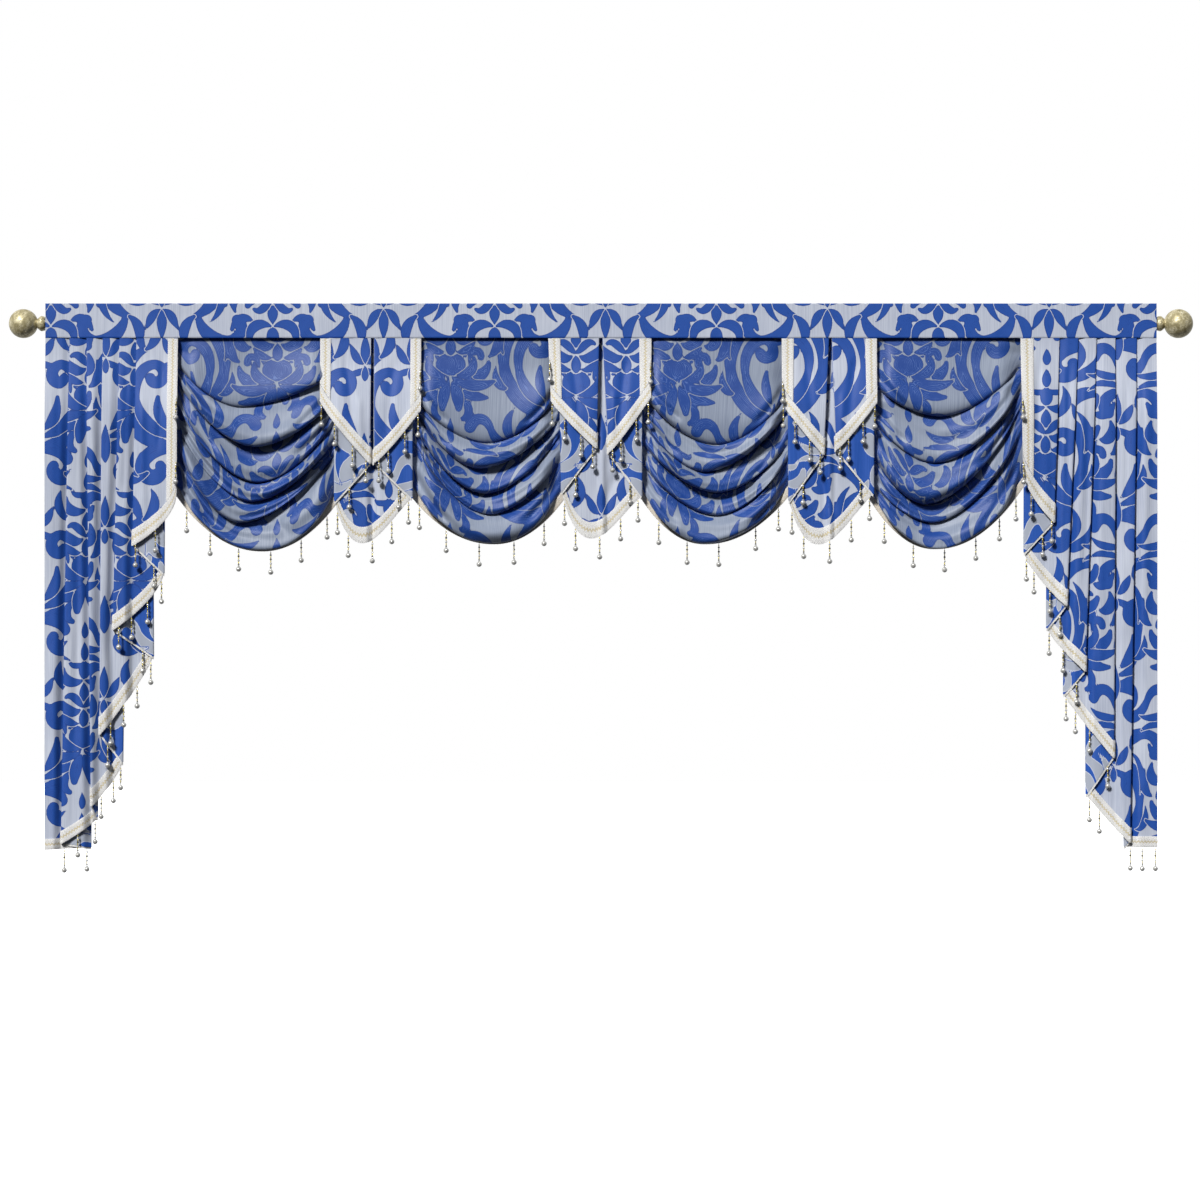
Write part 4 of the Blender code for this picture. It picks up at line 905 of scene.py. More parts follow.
class Pleated:
    """Cloth folded into layers that lie one behind another.

    swing: how far it leaves the seam's plane; flare: how far its free edge stands off in
    front; upright_end: whether it has a free edge at both ends, as a jabot has; creases:
    what is pressed into all its layers.
    """

    def __init__(self, edges, layers, swing, flare, upright_end, creases):
        self.edges = edges
        self.layers = layers
        self.swing = swing
        self.flare = flare
        self.upright_end = upright_end
        self.creases = creases
        self.side = 1 if edges[-1].x_top > edges[0].x_top else -1

    def pitch(self, drop):
        """How far apart two layers lie."""
        return mix(TIGHT_PITCH, LOOSE_PITCH, smooth(drop / LOOSE_BELOW))

    def edge_x(self, index, drop):
        """Where a folded edge hangs at this drop."""
        edge = self.edges[index]
        return mix(edge.x_top, edge.x_foot, np.minimum(drop / edge.drop, 1.0))

    def cover(self, layer, x, drop):
        """1 where this layer lies in front, falling to 0 just past its edges."""
        one, other = self.edge_x(layer.start, drop), self.edge_x(layer.end, drop)
        outside = np.maximum(np.minimum(one, other) - x, x - np.maximum(one, other))
        return 1.0 - smooth(np.maximum(outside, 0.0) / SETTLE)

    def layer_width(self, layer):
        return abs(self.edges[layer.end].x_foot - self.edges[layer.start].x_foot)

    def foot(self, layer, share):
        """The drop of a layer's lower edge, share of the way across it."""
        start, end = self.edges[layer.start], self.edges[layer.end]
        turn = share ** (math.log(0.5) / math.log(POINT_AT))
        point = np.maximum(np.sin(math.pi * turn), 0.0) ** POINT_SHARPNESS
        return mix(start.drop, end.drop, share**start.ease) + layer.dip * point

    def rise(self, layer):
        """How much of a layer's drop its slanting braid takes up."""
        start, end = self.edges[layer.start], self.edges[layer.end]
        slope = abs(end.drop - start.drop) / self.layer_width(layer)
        slope += 2 * layer.dip / self.layer_width(layer)
        return BRAID_WIDTH * math.sqrt(1 + min(slope, STEEPEST_BRAID) ** 2)

    def point(self, layer, share, drop):
        """Places on a layer, whose ends stop short of its folds by half their pitch."""
        towards = np.sign(self.edges[layer.end].x_top - self.edges[layer.start].x_top)
        bend = self.pitch(drop) / 2
        start = self.edge_x(layer.start, drop) + bend * towards * (layer.start > 0)
        end = self.edge_x(layer.end, drop) - bend * towards * (layer.end < len(self.edges) - 1)
        x = mix(start, end, share)
        before = sum(self.cover(other, x, drop) for other in self.layers if other.rank < layer.rank)
        y = FRONT - self.swing * smooth(drop / SWING_BELOW) + self.pitch(drop) * before
        hung = smooth(drop / SWING_BELOW)
        phase = layer.start * 1.9 + self.edges[0].x_top
        ripple = np.sin(x / 0.0071 + phase + 3.0 * drop) * (0.5 + 0.5 * np.sin(5.2 * drop + phase))
        ripple = ripple + 0.8 * np.sin(x / 0.0153 - 2.0 * drop + 2 * phase)
        y = y + RIPPLE * ripple * hung * np.sin(math.pi * np.clip(share, 0.0, 1.0)) ** 0.7
        # A crease goes through the layers that lie behind one another.
        y = y + pressed(x, drop, self.creases)
        if layer.rank == 0:
            free = 1 - share if layer.start == 0 else share
            y = y - self.flare * hung * free**1.5 - BELLY * hung * 4 * share * (1 - share)
        elif self.upright_end and layer.rank == 2:
            # The centre panel is drawn back where the flaps' inner edges part.
            middle = (self.edge_x(1, drop) + self.edge_x(4, drop)) / 2
            parted = np.exp(-(((x - middle) / RECESS_WIDTH) ** 2))
            y = y + RECESS * parted * (1 - smooth((drop - RECESS_UNTIL) / RECESS_FADE))
        return np.stack(np.broadcast_arrays(x, y, CLOTH_TOP - drop), axis=-1)

    def columns(self, spacing):
        """The layer, share and turn round a fold of each column, about this far apart."""
        found = []
        for number, layer in enumerate(self.layers):
            count = max(3, round(self.layer_width(layer) / spacing))
            found += [(number, share, 0.0) for share in np.linspace(0, 1, count + 1)]
            if number + 1 < len(self.layers):
                found += [(number, 1.0, turn / FOLD_TURN) for turn in range(1, FOLD_TURN)]
        return found

    def ring(self, column, share_down):
        """The places down one column; share_down is 0 at the seam, 1 at the braid, 2 at the foot."""
        number, share, turn = column
        layer = self.layers[number]
        if turn:
            after = self.layers[number + 1]
            foot = self.edges[layer.end].drop
            rise = mix(self.rise(layer), self.rise(after), turn)
        else:
            foot, rise = self.foot(layer, share), self.rise(layer)
        drop = np.where(share_down < 1, share_down * (foot - rise), foot - rise * (2 - share_down))
        at = self.point(layer, share, drop)
        if turn:
            beyond = self.point(after, 0.0, drop)
            round_it = math.pi * turn
            at = mix(at, beyond, (1 - math.cos(round_it)) / 2)
            fold_x = self.edge_x(layer.end, drop)
            at[:, 0] = mix(at[:, 0], fold_x, math.sin(round_it))
        return at

    def grid(self, columns, share_down):
        return np.stack([self.ring(column, share_down) for column in columns])


def add_pleated(name, cloth, pattern):
    """Adds the cloth of a jabot or tail, woven with its pattern, and notes its flat size."""
    deepest = max(edge.drop for edge in cloth.edges)
    rows = round(deepest / CLOTH_ROWS)
    share_down = np.concatenate([np.linspace(0, 1, rows)[:-1], np.linspace(1, 2, BRAID_ROWS + 1)])
    columns = cloth.columns(CLOTH_GRID)
    grid = cloth.grid(columns, share_down)
    grid[:, 0, 2] += TUCK_UP + SEAM_SLACK
    across = lengths_along(grid[..., :2], 0)
    uv = np.empty(grid.shape[:2] + (2,))
    # A column keeps its place on the flat cloth from the seam to its foot.
    uv[..., 0] = across[:, len(share_down) // 2][:, None]
    uv[..., 1] = CLOTH_TOP - grid[..., 2]
    mesh = grid_mesh(name + "_cloth", grid, uv * (1, -1), flip=cloth.side < 0)
    weave_damask(mesh, uv * (pattern[2], 1.0), axis=pattern[0], drop=pattern[1])
    # Every other layer shows the reverse of the cloth to the room.
    turned = [cloth.layers[number].rank % 2 for number, _, _ in columns]
    turned = np.repeat(np.array(turned, np.float32), len(share_down))
    mesh.attributes.new("turned", "FLOAT", "POINT").data.foreach_set("value", turned)
    flats[name] = dict(
        flat=(float(np.ptp(uv[..., 0])), float(np.ptp(uv[..., 1]))), area=flat_area(uv), held="hung",
    )
    return add_piece(name + "_cloth", mesh, [jacquard_firm], name)


pleats = {}
for name, edges in JABOT_EDGES.items():
    layers = []
    for start, rank in enumerate(JABOT_RANKS):
        dip = JABOT_POINT[name] if rank == max(JABOT_RANKS) else 0.0
        layers.append(Layer(start, start + 1, rank, dip))
    pleats[name] = Pleated(edges, layers, JABOT_SWING, 0.0, True, JABOT_CREASES[name])
    cloths[name] = add_pleated(name, pleats[name], JABOT_PATTERNS[name])

# ------------------------------------------------------------------------- tails
# A long cascade tail at either end: one cloth cut on a slant, folded back and
# forth so that each layer ends lower than the one in front of it, and sewn into
# the seam with its longest edge outwards.

TAIL_SWING = 0.014
TAIL_FLARE = 0.006  # how far the free edge in front stands off

TAIL_EDGES = {
    "tail_left": (
        Edge(x_top=-0.948, x_foot=-0.949, drop=0.345, ease=0.50),
        Edge(x_top=-1.041, x_foot=-1.049, drop=0.463, ease=1.00),
        Edge(x_top=-0.974, x_foot=-0.977, drop=0.526, ease=0.65),
        Edge(x_top=-1.079, x_foot=-1.093, drop=0.652, ease=1.00),
        Edge(x_top=-1.005, x_foot=-1.002, drop=0.712, ease=0.85),
        Edge(x_top=-1.117, x_foot=-1.123, drop=0.886, ease=1.00),
        Edge(x_top=-1.059, x_foot=-1.071, drop=0.949, ease=0.75),
        Edge(x_top=-1.153, x_foot=-1.142, drop=1.046, ease=1.00),
        Edge(x_top=-1.113, x_foot=-1.127, drop=1.072, ease=0.75),
        Edge(x_top=-1.191, x_foot=-1.209, drop=1.130, ease=1.00),
        Edge(x_top=-1.140, x_foot=-1.142, drop=1.140, ease=1.00),
        Edge(x_top=-1.245, x_foot=-1.245, drop=1.144, ease=1.00),
    ),
    "tail_right": (
        Edge(x_top=0.940, x_foot=0.943, drop=0.295, ease=0.60),
        Edge(x_top=1.028, x_foot=1.015, drop=0.411, ease=1.00),
        Edge(x_top=0.947, x_foot=0.946, drop=0.479, ease=0.70),
        Edge(x_top=1.070, x_foot=1.043, drop=0.598, ease=1.00),
        Edge(x_top=0.999, x_foot=0.998, drop=0.649, ease=0.80),
        Edge(x_top=1.111, x_foot=1.085, drop=0.745, ease=1.00),
        Edge(x_top=1.039, x_foot=1.036, drop=0.797, ease=0.90),
        Edge(x_top=1.153, x_foot=1.149, drop=0.938, ease=1.00),
        Edge(x_top=1.085, x_foot=1.086, drop=1.021, ease=0.90),
        Edge(x_top=1.201, x_foot=1.185, drop=1.128, ease=1.00),
        Edge(x_top=1.150, x_foot=1.170, drop=1.138, ease=1.00),
        Edge(x_top=1.245, x_foot=1.245, drop=1.138, ease=1.00),
    ),
}
TAIL_PATTERNS = {"tail_left": (0.2485, 0.160, 1.0), "tail_right": (0.056, 0.312, 1.0)}
TAIL_CREASES = {
    "tail_left": (
        Crease(-0.984, 0.020, -0.992, 0.270, 0.004, 0.008, 0.0035),
        Crease(-1.026, 0.110, -1.018, 0.430, -0.004, 0.008, -0.0028),
        Crease(-1.061, 0.020, -1.070, 0.390, 0.003, 0.007, 0.0032),
        Crease(-1.098, 0.300, -1.108, 0.780, 0.005, 0.008, 0.0038),
        Crease(-1.137, 0.050, -1.129, 0.520, -0.004, 0.008, -0.0028),
        Crease(-1.172, 0.380, -1.182, 0.980, 0.005, 0.009, 0.0038),
        Crease(-1.214, 0.030, -1.223, 0.620, 0.004, 0.010, 0.0035),
        Crease(-1.228, 0.660, -1.216, 1.090, -0.004, 0.010, -0.0028),
    ),
    "tail_right": (
        Crease(0.978, 0.030, 0.972, 0.250, 0.004, 0.008, 0.0035),
        Crease(1.012, 0.120, 1.018, 0.460, 0.004, 0.008, -0.0028),
        Crease(1.052, 0.020, 1.046, 0.360, -0.004, 0.007, 0.0035),
        Crease(1.088, 0.080, 1.080, 0.600, 0.004, 0.008, 0.0032),
        Crease(1.128, 0.250, 1.118, 0.800, -0.005, 0.009, -0.0028),
        Crease(1.172, 0.040, 1.166, 0.560, 0.004, 0.009, 0.0038),
        Crease(1.190, 0.520, 1.204, 1.080, 0.005, 0.010, 0.0038),
        Crease(1.226, 0.080, 1.218, 0.700, -0.004, 0.010, -0.0028),
    ),
}

for name, edges in TAIL_EDGES.items():
    layers = [Layer(i, i + 1, i, 0.0) for i in range(len(edges) - 1)]
    pleats[name] = Pleated(edges, layers, TAIL_SWING, TAIL_FLARE, False, TAIL_CREASES[name])
    cloths[name] = add_pleated(name, pleats[name], TAIL_PATTERNS[name])

# ------------------------------------------------------------------------- braid
# A warp-knitted tape of silver-white viscose with looped edges and a gilt thread
# that zigzags down its middle, 24 mm wide. It is sewn flat on the face of every
# jabot and tail, round its free edges, and along the swags' hems, under their roll.

BRAID = 0.0012
BRAID_PITCH = 0.0014  # between points along the tape
BRAID_LIFT = CLOTH / 2 + GAP + BRAID / 2  # from the cloth's middle to the tape's
PICOT = 0.0006  # how far the edge's loops reach past it
PICOT_EVERY = 3  # points along the tape
COURSE_LIFT = 0.00012  # how far every other row of stitches stands out
# Share of the tape's width that reaches past the cloth's raw edge, on layers that face
# the room and on those that are turned.
PROUD = (0.03, 0.18)
# Across the tape from its inner edge: the share, and how far the face is raised.
BRAID_PROFILE = (
    (0.0, -0.0003), (0.10, 0.0004), (0.26, 0.0), (0.5, 0.0004), (0.74, 0.0), (0.90, 0.0004), (1.0, -0.0003),
)
ROUND_TAPE = [*range(len(BRAID_PROFILE)), -1, 0]  # the profile's points, then its back's two


def surface_frame(grid):
    """Unit vectors at each point of a grid: from column to column, down them, and out of its face."""
    along, down = np.gradient(grid, axis=0), np.gradient(grid, axis=1)
    normal = np.cross(down, along)
    frame_of = []
    for vector in (along, down, normal):
        frame_of.append(vector / np.maximum(np.linalg.norm(vector, axis=-1, keepdims=True), 1e-12))
    return frame_of


def tape_mesh(name, grids, side):
    """One closed mesh of tapes, each sewn on a strip of cloth: grid[along][across]."""
    points, faces, flats, count = [], [], [], 0
    raised = np.array([lift for _, lift in BRAID_PROFILE])
    for grid in grids:
        along, down, normal = surface_frame(grid)
        normal = normal * side
        edge = np.cross(normal, along)
        edge *= np.sign((edge * down).sum(-1, keepdims=True))
        step = np.arange(len(grid))[:, None]
        loops = np.where(step % PICOT_EVERY == 0, PICOT, -PICOT / 3)
        lift = BRAID_LIFT + BRAID / 2 + raised + COURSE_LIFT * np.where(step % 2, 1, -1)
        front = grid + normal * lift[..., None]
        front[:, 0] -= edge[:, 0] * loops
        front[:, -1] += edge[:, -1] * loops
        back = (grid + normal * (BRAID_LIFT - BRAID / 2))[:, [-1, 0]]
        loop = np.concatenate([front, back], axis=1)
        middle = grid[:, len(BRAID_PROFILE) // 2]
        run = np.concatenate([[0], np.cumsum(np.linalg.norm(np.diff(middle, axis=0), axis=1))])
        lengthwise = run[:, None] + ((grid - middle[:, None]) * along).sum(-1)
        crosswise = np.array([share - 0.5 for share, _ in BRAID_PROFILE]) * BRAID_WIDTH
        flat = np.stack(np.broadcast_arrays(lengthwise, crosswise[None, :]), axis=-1)
        flat = flat[:, ROUND_TAPE]
        # Either end is stitched down flat.
        head, tail = ((grid[end] + normal[end] * BRAID_LIFT)[ROUND_TAPE] for end in (0, -1))
        loop = np.concatenate([head[None], loop, tail[None]])
        flat = np.concatenate([flat[:1], flat, flat[-1:]])
        index = np.arange(loop.shape[0] * loop.shape[1]).reshape(loop.shape[:2]) + count
        index = np.concatenate([index, index[:, :1]], axis=1)
        corners = (index[:-1, :-1], index[1:, :-1], index[1:, 1:], index[:-1, 1:])
        quads = np.stack(corners, axis=-1).reshape(-1, 4)
        faces.append(quads[:, ::-1] if side < 0 else quads)
        points.append(loop.reshape(-1, 3))
        flats.append(flat.reshape(-1, 2))
        count += loop.shape[0] * loop.shape[1]
    points, faces, flats = (np.concatenate(parts) for parts in (points, faces, flats))
    mesh = bpy.data.meshes.new(name)
    mesh.from_pydata(points, [], faces.tolist())
    flats = flats[faces.reshape(-1)].astype(np.float32)
    mesh.uv_layers.new(name="cloth").data.foreach_set("uv", flats.reshape(-1))
    mesh.shade_smooth()
    mesh.set_sharp_from_angle(angle=math.radians(50))
    return mesh


# Viscose gives the tape a silky white. It is drawn grey in the hollows between its loops,
# where the knit's relief sinks, which is painted shade; the gilt thread glints.
# Stitches are 1.6 mm, drawn at 2.2 mm so that they show.
STITCH = 0.0022
COURSE_BEND = 22.0  # how much the rows of stitches bow along the tape
FUZZ_SCALE = 520.0  # fibres about 2 mm apart
ZIGZAG_PITCH = 0.0072
ZIGZAG_REACH = 1.1  # crosswise for each metre lengthwise
GILT_THREAD = (0.0011, 0.0024)  # half widths of its solid core and of its soft edge
silver_tape, tree, shader = new_material("knitted_viscose_tape", Roughness=0.48, Sheen_Weight=0.25)
cloth = add_node(tree, "UVMap", uv_map="cloth")
lengthwise, crosswise, _ = add_node(tree, "SeparateXYZ", {0: cloth}, output=None)
courses = add_node(tree, "Math", {0: crosswise, 1: crosswise}, operation="MULTIPLY")
courses = add_node(tree, "Math", {0: courses, 1: COURSE_BEND, 2: lengthwise}, operation="MULTIPLY_ADD")
courses = add_node(tree, "Math", {0: courses, 1: 2 * math.pi / STITCH}, operation="MULTIPLY")
courses = add_node(tree, "Math", {0: courses}, operation="SINE")
wales = add_node(tree, "Math", {0: crosswise, 1: 2 * math.pi / STITCH}, operation="MULTIPLY")
wales = add_node(tree, "Math", {0: wales}, operation="COSINE")
knit = add_node(tree, "Math", {0: courses, 1: wales}, operation="MULTIPLY")
fuzz = add_node(tree, "TexNoise", {"Vector": cloth, "Scale": FUZZ_SCALE, "Detail": 2.0})
knit = add_node(tree, "Math", {0: knit, 1: 0.5, 2: fuzz}, operation="MULTIPLY_ADD")
# Painted shade: greyest where the knit is lowest, in the hollows between the loops.
tape_tone_and_hollow_shade = add_node(tree, "ValToRGB", {0: knit}, stops=(
    (0.10, "#8A878A"),
    (0.30, "#C9C6C3"),
    (0.55, "#ECEAE5"),
    (0.85, "#FBFAF6"),
))
turns = add_node(tree, "Math", {0: lengthwise, 1: ZIGZAG_PITCH / 2}, operation="PINGPONG")
centred = -ZIGZAG_REACH * ZIGZAG_PITCH / 4
turns = add_node(tree, "Math", {0: turns, 1: ZIGZAG_REACH, 2: centred}, operation="MULTIPLY_ADD")
off_line = add_node(tree, "Math", {0: crosswise, 1: turns}, operation="SUBTRACT")
off_line = add_node(tree, "Math", {0: off_line}, operation="ABSOLUTE")
gilt = add_node(tree, "MapRange", {
    "Value": off_line, "From Min": GILT_THREAD[0], "From Max": GILT_THREAD[1], "To Min": 1.0, "To Max": 0.0,
})
glint = add_node(tree, "MapRange", {"Value": knit, "From Min": 0.25, "From Max": 0.6})
gilt = add_node(tree, "Math", {0: gilt, 1: glint}, operation="MULTIPLY")
tape_colour = add_node(tree, "MixRGB", {0: gilt, 1: tape_tone_and_hollow_shade, 2: "#D2BE7E"})
tree.links.new(tape_colour, shader.inputs["Base Color"])
half_metal = add_node(tree, "Math", {0: gilt, 1: 0.5}, operation="MULTIPLY")
tree.links.new(half_metal, shader.inputs["Metallic"])
relief = add_node(tree, "Bump", {"Height": knit, "Distance": 0.0004, "Strength": 0.8})
tree.links.new(relief, shader.inputs["Normal"])

# The swags' tape is turned under with their hems, and shows its plain back without
# the gilt thread. Its dim beige is painted shade, standing for the shade under the hem's roll.
TRICOT_SCALE = 480.0  # stitches about 2 mm apart
hem_tape_in_shade, tree, shader = new_material("tricot_back_in_painted_shade", Roughness=0.6, Sheen_Weight=0.2)
cloth = add_node(tree, "UVMap", uv_map="cloth")
tricot = add_node(tree, "TexNoise", {"Vector": cloth, "Scale": TRICOT_SCALE, "Detail": 2.0})
# Painted shade: both tones are dimmer and warmer than the tape's face.
tone = add_node(tree, "ValToRGB", {0: tricot}, stops=((0.35, "#A89C8A"), (0.62, "#DDD4C4")))
tree.links.new(tone, shader.inputs["Base Color"])
relief = add_node(tree, "Bump", {"Height": tricot, "Distance": 0.0003, "Strength": 0.7})
tree.links.new(relief, shader.inputs["Normal"])

across_tape = np.array([share for share, _ in BRAID_PROFILE])
for name, cloth in pleats.items():
    # Round the foot, fold after fold.
    rings = []
    for column in cloth.columns(BRAID_PITCH):
        proud = PROUD[cloth.layers[column[0]].rank % 2]
        rings.append(cloth.ring(column, 1 + across_tape + proud))
    strips = [np.stack(rings)]
    # Down each upright free edge, from the seam to where the tape turns the corner.
    uprights = [(0, 0)] + ([(len(cloth.layers) - 1, 1)] if cloth.upright_end else [])
    for number, at_end in uprights:
        layer = cloth.layers[number]
        width = BRAID_WIDTH / cloth.layer_width(layer)
        corner = cloth.edges[-1 if at_end else 0].drop
        down = np.linspace(0.0, corner, round(corner / BRAID_PITCH))[:, None]
        shares = mix(1 - width, 1.0, across_tape) if at_end else mix(width, 0.0, across_tape)
        low = cloth.foot(layer, shares) - cloth.rise(layer)
        strips.append(cloth.point(layer, shares[None, :], down / corner * low[None, :]))
    # Every strip runs the way round that turns its face to the room.
    side = cloth.side
    fixed = []
    for strip in strips:
        facing = surface_frame(strip)[2]
        fixed.append(strip if (facing[0, 0, 1] < 0) == (side > 0) else strip[::-1])
    mesh = tape_mesh("braid_" + name, fixed, side)
    add_piece("braid_" + name, mesh, [silver_tape], "trim_" + name)
for name, place in SWAG_PLACES.items():
    left, right = place.left - place.tuck_left, place.right + place.tuck_right
    x = np.linspace(left, right, round(1.25 * (right - left) / BRAID_PITCH))
    start = 1 - (1 - HEM_FROM) * BRAID_WIDTH / HEM_BAND
    strip = swag_surface(name, x, len(SWAG_VALLEYS[name]) - 1, mix(start, 1.0, across_tape))
    mesh = tape_mesh("braid_" + name, [strip], 1)
    add_piece("braid_" + name, mesh, [hem_tape_in_shade], "trim_" + name)

# -------------------------------------------------------------------- bead drops
# From the tape's outer edge hang drops of beads on clear nylon thread: gilt glass
# bugles by turns with round silvered beads and round beads drawn dark, ending in a
# lacquered grey pearl. The dark rounds are a painted reflection, standing for the dark
# room that silvered rounds mirror. Each thread is knotted into the tape.

DROP_LENGTH = 0.056
DROP_BALL = 0.006  # radius of the pearl
EDGE_INSET = 0.06  # share of the tape's width between its edge and the knots
DROP_LEAN = 0.001  # how far a drop's foot hangs in front of its root
TURNED_LEAN = 0.004  # and one from a layer that is turned
SIDE_CLEARANCE = 0.0025  # between the cloth and the pearl of a drop beside an upright edge
SWING_FREE = 0.6  # share of the drop over which it comes to lean
THREAD = 0.00045  # radius
POLE = 0.35  # how near a bead's first and last ring lie to its holes, in rings
# Down a drop, from its root: what is strung there, its middle, radius and height.
Bead = namedtuple("Bead", "finish middle radius height sides")
STRUNG = (
    Bead("thread", -0.021, THREAD, 0.044, 4),
    Bead("gilt", -0.0074, 0.0011, 0.0036, 6),
    Bead("silver", -0.0118, 0.0026, 0.0048, 9),
    Bead("gilt", -0.0166, 0.0012, 0.0046, 6),
    Bead("mirror_dark", -0.0214, 0.0026, 0.0048, 9),
    Bead("gilt", -0.0262, 0.0012, 0.0046, 6),
    Bead("silver", -0.0310, 0.0027, 0.0050, 9),
    Bead("gilt", -0.0360, 0.0012, 0.0048, 6),
    Bead("mirror_dark", -0.0402, 0.0022, 0.0034, 8),
    Bead("silver", -0.0432, 0.0028, 0.0020, 8),
    Bead("pearl", -DROP_LENGTH + DROP_BALL, DROP_BALL, 2 * DROP_BALL, 16),
)
SWAG_DROPS = {
    "swag_1": (-0.929, -0.876, -0.812, -0.740, -0.672, -0.615),
    "swag_2": (-0.407, -0.347, -0.273, -0.195, -0.128),
    "swag_3": (0.130, 0.193, 0.264, 0.347, 0.398),
    "swag_4": (0.636, 0.700, 0.770, 0.840, 0.893, 0.931),
}
# Down the upright edges: which side of the piece (0 its first edge), and the drop of the root.
SIDE_DROPS = {
    "tail_left": ((0, 0.128), (0, 0.272)),
    "tail_right": ((0, 0.128), (0, 0.272)),
    "jabot_1": ((1, 0.063),),
    "jabot_2": ((0, 0.043), (1, 0.049)),
    "jabot_3": ((0, 0.091),),
}
JABOT_DROPS = (
    (0.03, 0.30, 0.66, 0.93),
    (0.59,),
    (0.03, 0.17, 0.48, 0.74, 0.96),
    (0.35,),
    (0.09, 0.30, 0.66, 0.94),
)
PLEAT_DROPS = {
    "tail_left": (
        (0.49, 0.95), (0.69,), (0.04, 0.33, 0.66, 0.90), (0.74,), (0.04, 0.31, 0.56, 0.82), (0.35,),
        (0.05, 0.30, 0.70), (), (0.06, 0.53), (), (0.08, 0.57),
    ),
    "tail_right": (
        (0.26, 0.94), (0.37,), (0.04, 0.22, 0.61), (0.34,), (0.05, 0.41), (0.40,),
        (0.04, 0.22, 0.52), (0.20,), (0.07, 0.29), (), (0.18, 0.52, 0.93),
    ),
    "jabot_1": JABOT_DROPS, "jabot_2": JABOT_DROPS, "jabot_3": JABOT_DROPS,
}


def strung_drop():
    """One drop's points, faces and the finish of each face."""
    points, faces, finishes = [], [], []
    for bead in STRUNG:
        tube = bead.finish in ("thread", "gilt")
        rings = 2 if tube else max(4, bead.sides // 2 + 1)
        first = len(points)
        for ring in range(rings):
            if tube:
                radius, rise = bead.radius, 1 - 2 * ring
            else:
                turn = math.pi * (ring + POLE) / (rings - 1 + 2 * POLE)
                radius, rise = bead.radius * math.sin(turn), math.cos(turn)
            z = bead.middle + bead.height / 2 * rise
            for side in range(bead.sides):
                angle = 2 * math.pi * side / bead.sides
                points.append((radius * math.cos(angle), radius * math.sin(angle), z))
        for ring in range(rings - 1):
            start = first + ring * bead.sides
            for side in range(bead.sides):
                a, b = start + side, start + (side + 1) % bead.sides
                faces.append((a, a + bead.sides, b + bead.sides, b))
        top = tuple(range(first, first + bead.sides))
        bottom = tuple(reversed(range(len(points) - bead.sides, len(points))))
        faces += [top, bottom]
        finishes += [bead.finish] * ((rings - 1) * bead.sides + 2)
    return np.array(points), faces, finishes


# Glass and lacquer: smooth and sharp in their lights. The silvering and the gilding
# shine through the glass, so they are half as metallic as bare metal would be.
nylon = new_material("clear_nylon_thread", Base_Color="#B4B5B3", Roughness=0.30)[0]
# Painted reflection: a dark brown-grey round, standing for the dark room that a silvered bead mirrors.
reflection_dark_bead = new_material("bead_in_painted_reflection", Base_Color="#57543F", Roughness=0.12, Coat_Weight=0.6)[0]
silvered = new_material("silvered_glass_bead", Base_Color="#E0E0DE", Metallic=0.45, Roughness=0.18)[0]
gilded = new_material("gilt_glass_bugle", Base_Color="#DEC65A", Metallic=0.5, Roughness=0.26)[0]
pearl = new_material(
    "grey_lacquered_pearl", Base_Color="#CBC9C2", Metallic=0.35, Roughness=0.2, Coat_Weight=1.0,
    Coat_Roughness=0.05,
)[0]
FINISHES = {"thread": nylon, "silver": silvered, "gilt": gilded, "mirror_dark": reflection_dark_bead, "pearl": pearl}


def hang_drops(name, places):
    """All the drops of one braid as one mesh; each place is a root and how its foot leans."""
    shape, faces, finishes = strung_drop()
    swung = smooth(-shape[:, 2] / (SWING_FREE * DROP_LENGTH))[:, None]
    points, all_faces = [], []
    for number, (root, lean) in enumerate(places):
        all_faces += [tuple(v + number * len(shape) for v in face) for face in faces]
        points.append(shape + np.array(root) + swung * np.array(lean))
    mesh = bpy.data.meshes.new(name)
    mesh.from_pydata(np.concatenate(points), [], all_faces)
    order = list(FINISHES)
    mesh.polygons.foreach_set("material_index", [order.index(f) for f in finishes] * len(places))
    mesh.shade_smooth()
    return mesh


for name, cloth in pleats.items():
    places = []
    for number, shares in enumerate(PLEAT_DROPS[name]):
        layer = cloth.layers[number]
        for share in shares:
            near = [(number, min(max(share + step, 0.0), 1.0), 0.0) for step in (-0.01, 0.01)]
            patch = cloth.grid(near, np.array([1.90, 2 - EDGE_INSET, 1.98]))
            normal = surface_frame(patch)[2][0, 1] * cloth.side
            if (normal[1] < 0) == bool(layer.rank % 2):
                normal = -normal
            root = patch[:, 1].mean(axis=0) + normal * BRAID_LIFT
            places.append((root, (0.0, -TURNED_LEAN if layer.rank % 2 else -DROP_LEAN, 0.0)))
    for at_end, height in SIDE_DROPS[name]:
        layer = cloth.layers[-1 if at_end else 0]
        share = BRAID_WIDTH / cloth.layer_width(layer) * EDGE_INSET
        share = 1 - share if at_end else share
        root = cloth.point(layer, share, np.array([height, height + DROP_LENGTH]))
        forward = root[1, 1] - root[0, 1] - DROP_BALL - SIDE_CLEARANCE
        places.append((root[0] + (0.0, -BRAID_LIFT, 0.0), (0.0, forward, 0.0)))
    mesh = hang_drops("drops_" + name, places)
    add_piece("drops_" + name, mesh, FINISHES.values(), "trim_" + name)
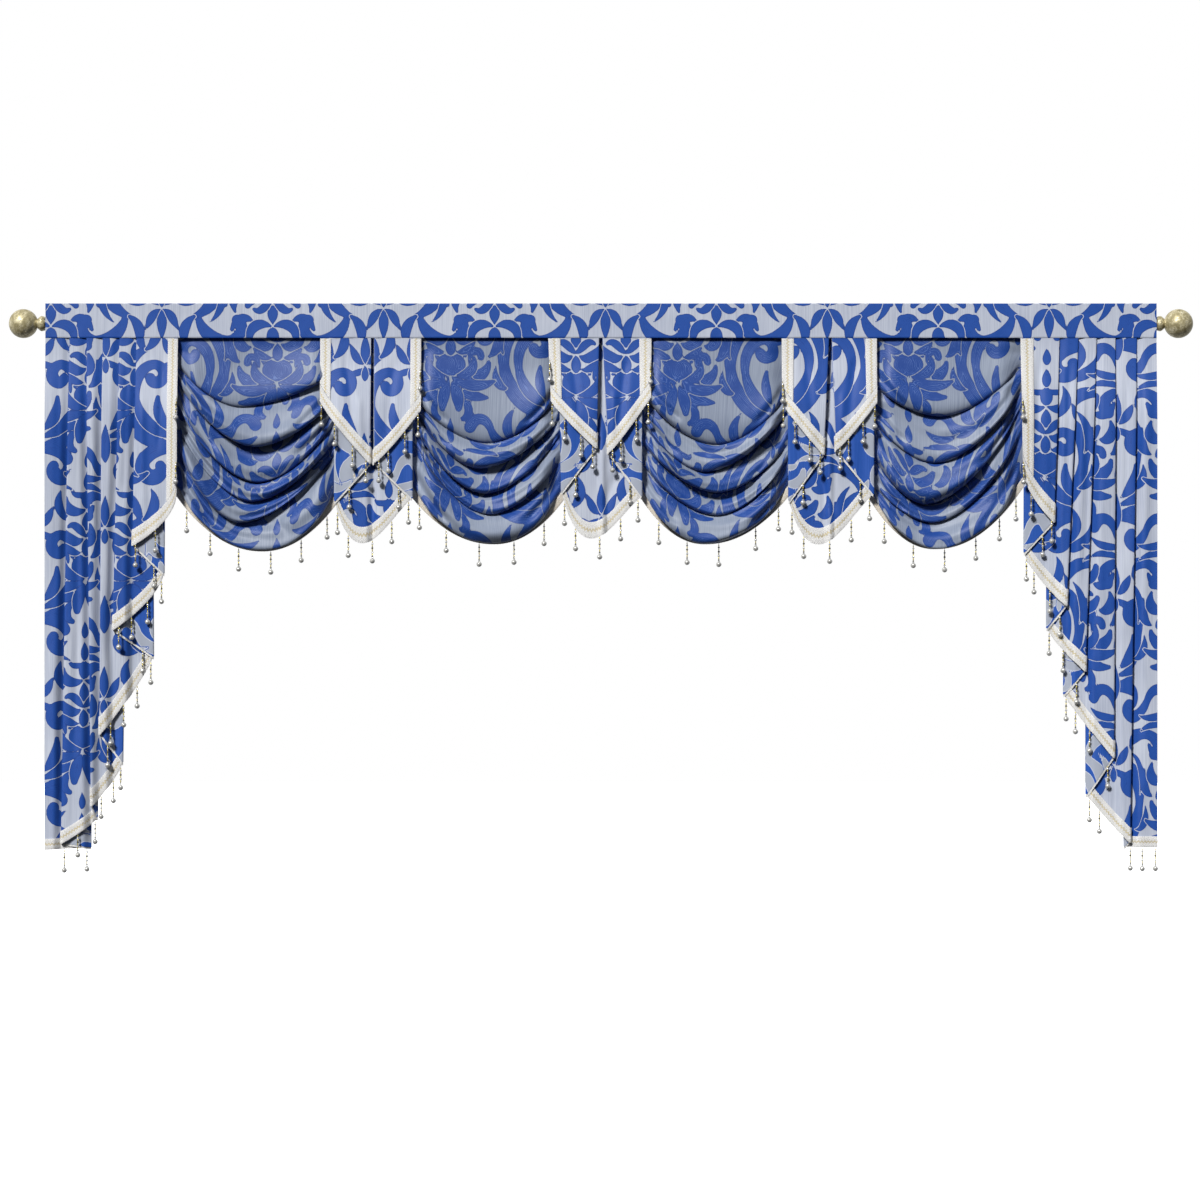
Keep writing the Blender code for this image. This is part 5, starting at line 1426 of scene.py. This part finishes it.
for name, at in SWAG_DROPS.items():
    last = len(SWAG_VALLEYS[name]) - 1
    places = []
    for x in at:
        near = swag_surface(name, np.array([x - 0.001, x + 0.001]), last, 1 - np.array([0.04, 0.02, 0.0]))
        normal = surface_frame(near)[2][0, 1]
        places.append((near[:, 1].mean(axis=0) + normal * BRAID_LIFT, (0.0, 0.0, 0.0)))
    mesh = hang_drops("drops_" + name, places)
    add_piece("drops_" + name, mesh, FINISHES.values(), "trim_" + name)

# --------------------------------------------------------------- floor and light
# A plain white floor 2.4 m below the rod, a broad soft lamp in front, above and to
# the left, and a white studio wall that fills the shadows.

FLOOR_Z = -2.4
FLOOR_HALF = 30.0
LAMP_STRENGTH = 4.1
LAMP_SPREAD = 11  # degrees across, as large as a lamp box seen from near by
LAMP_TILT = 45  # degrees in front of straight above
LAMP_LEFT = -32
ends = (-FLOOR_HALF, FLOOR_HALF)
floor_mesh = grid_mesh("floor", np.array([[(x, y, FLOOR_Z) for y in ends] for x in ends]))
# Matt paint, lit a little from within so that it stays as white as the wall.
floor_paint = new_material(
    "matt_white_floor_paint", Base_Color="#F6F6F6", Roughness=0.9, Emission_Color="#FFFFFF",
    Emission_Strength=0.6,
)[0]
floor_mesh.materials.append(floor_paint)
floor = bpy.data.objects.new("floor", floor_mesh)
bpy.context.scene.collection.objects.link(floor)
floor.visible_diffuse = False
floor.visible_glossy = False

world = bpy.data.worlds.new("studio")
bpy.context.scene.world = world
world.use_nodes = True
tree = world.node_tree
backdrop = tree.nodes["Background"]
towards = add_node(tree, "TexCoord", output="Generated")
_, towards_wall, towards_ceiling = add_node(tree, "SeparateXYZ", {0: towards}, output=None)
height = add_node(tree, "MapRange", {"Value": towards_ceiling, "From Min": -1.0})
fill = add_node(tree, "ValToRGB", {0: height}, stops=(
    (0.30, "#121417"),
    (0.50, "#42464D"),
    (0.80, "#8C9098"),
))
# The wall behind gives back much more light than the room does.
wall = add_node(tree, "MapRange", {"Value": towards_wall, "From Min": 0.05, "From Max": 0.35})
fill = add_node(tree, "MixRGB", {0: wall, 1: fill, 2: "#D9DBDE"})
seen = add_node(tree, "LightPath", output="Is Camera Ray")
shown = add_node(tree, "MixRGB", {0: seen, 1: fill, 2: "#FFFFFF"})
tree.links.new(shown, backdrop.inputs["Color"])

lamp = bpy.data.lights.new("soft_lamp", "SUN")
lamp.energy = LAMP_STRENGTH
lamp.angle = math.radians(LAMP_SPREAD)
soft_lamp = bpy.data.objects.new("soft_lamp", lamp)
soft_lamp.rotation_euler = (math.radians(LAMP_TILT), math.radians(LAMP_LEFT), 0.0)
bpy.context.scene.collection.objects.link(soft_lamp)
bpy.context.scene.view_settings.view_transform = "Standard"
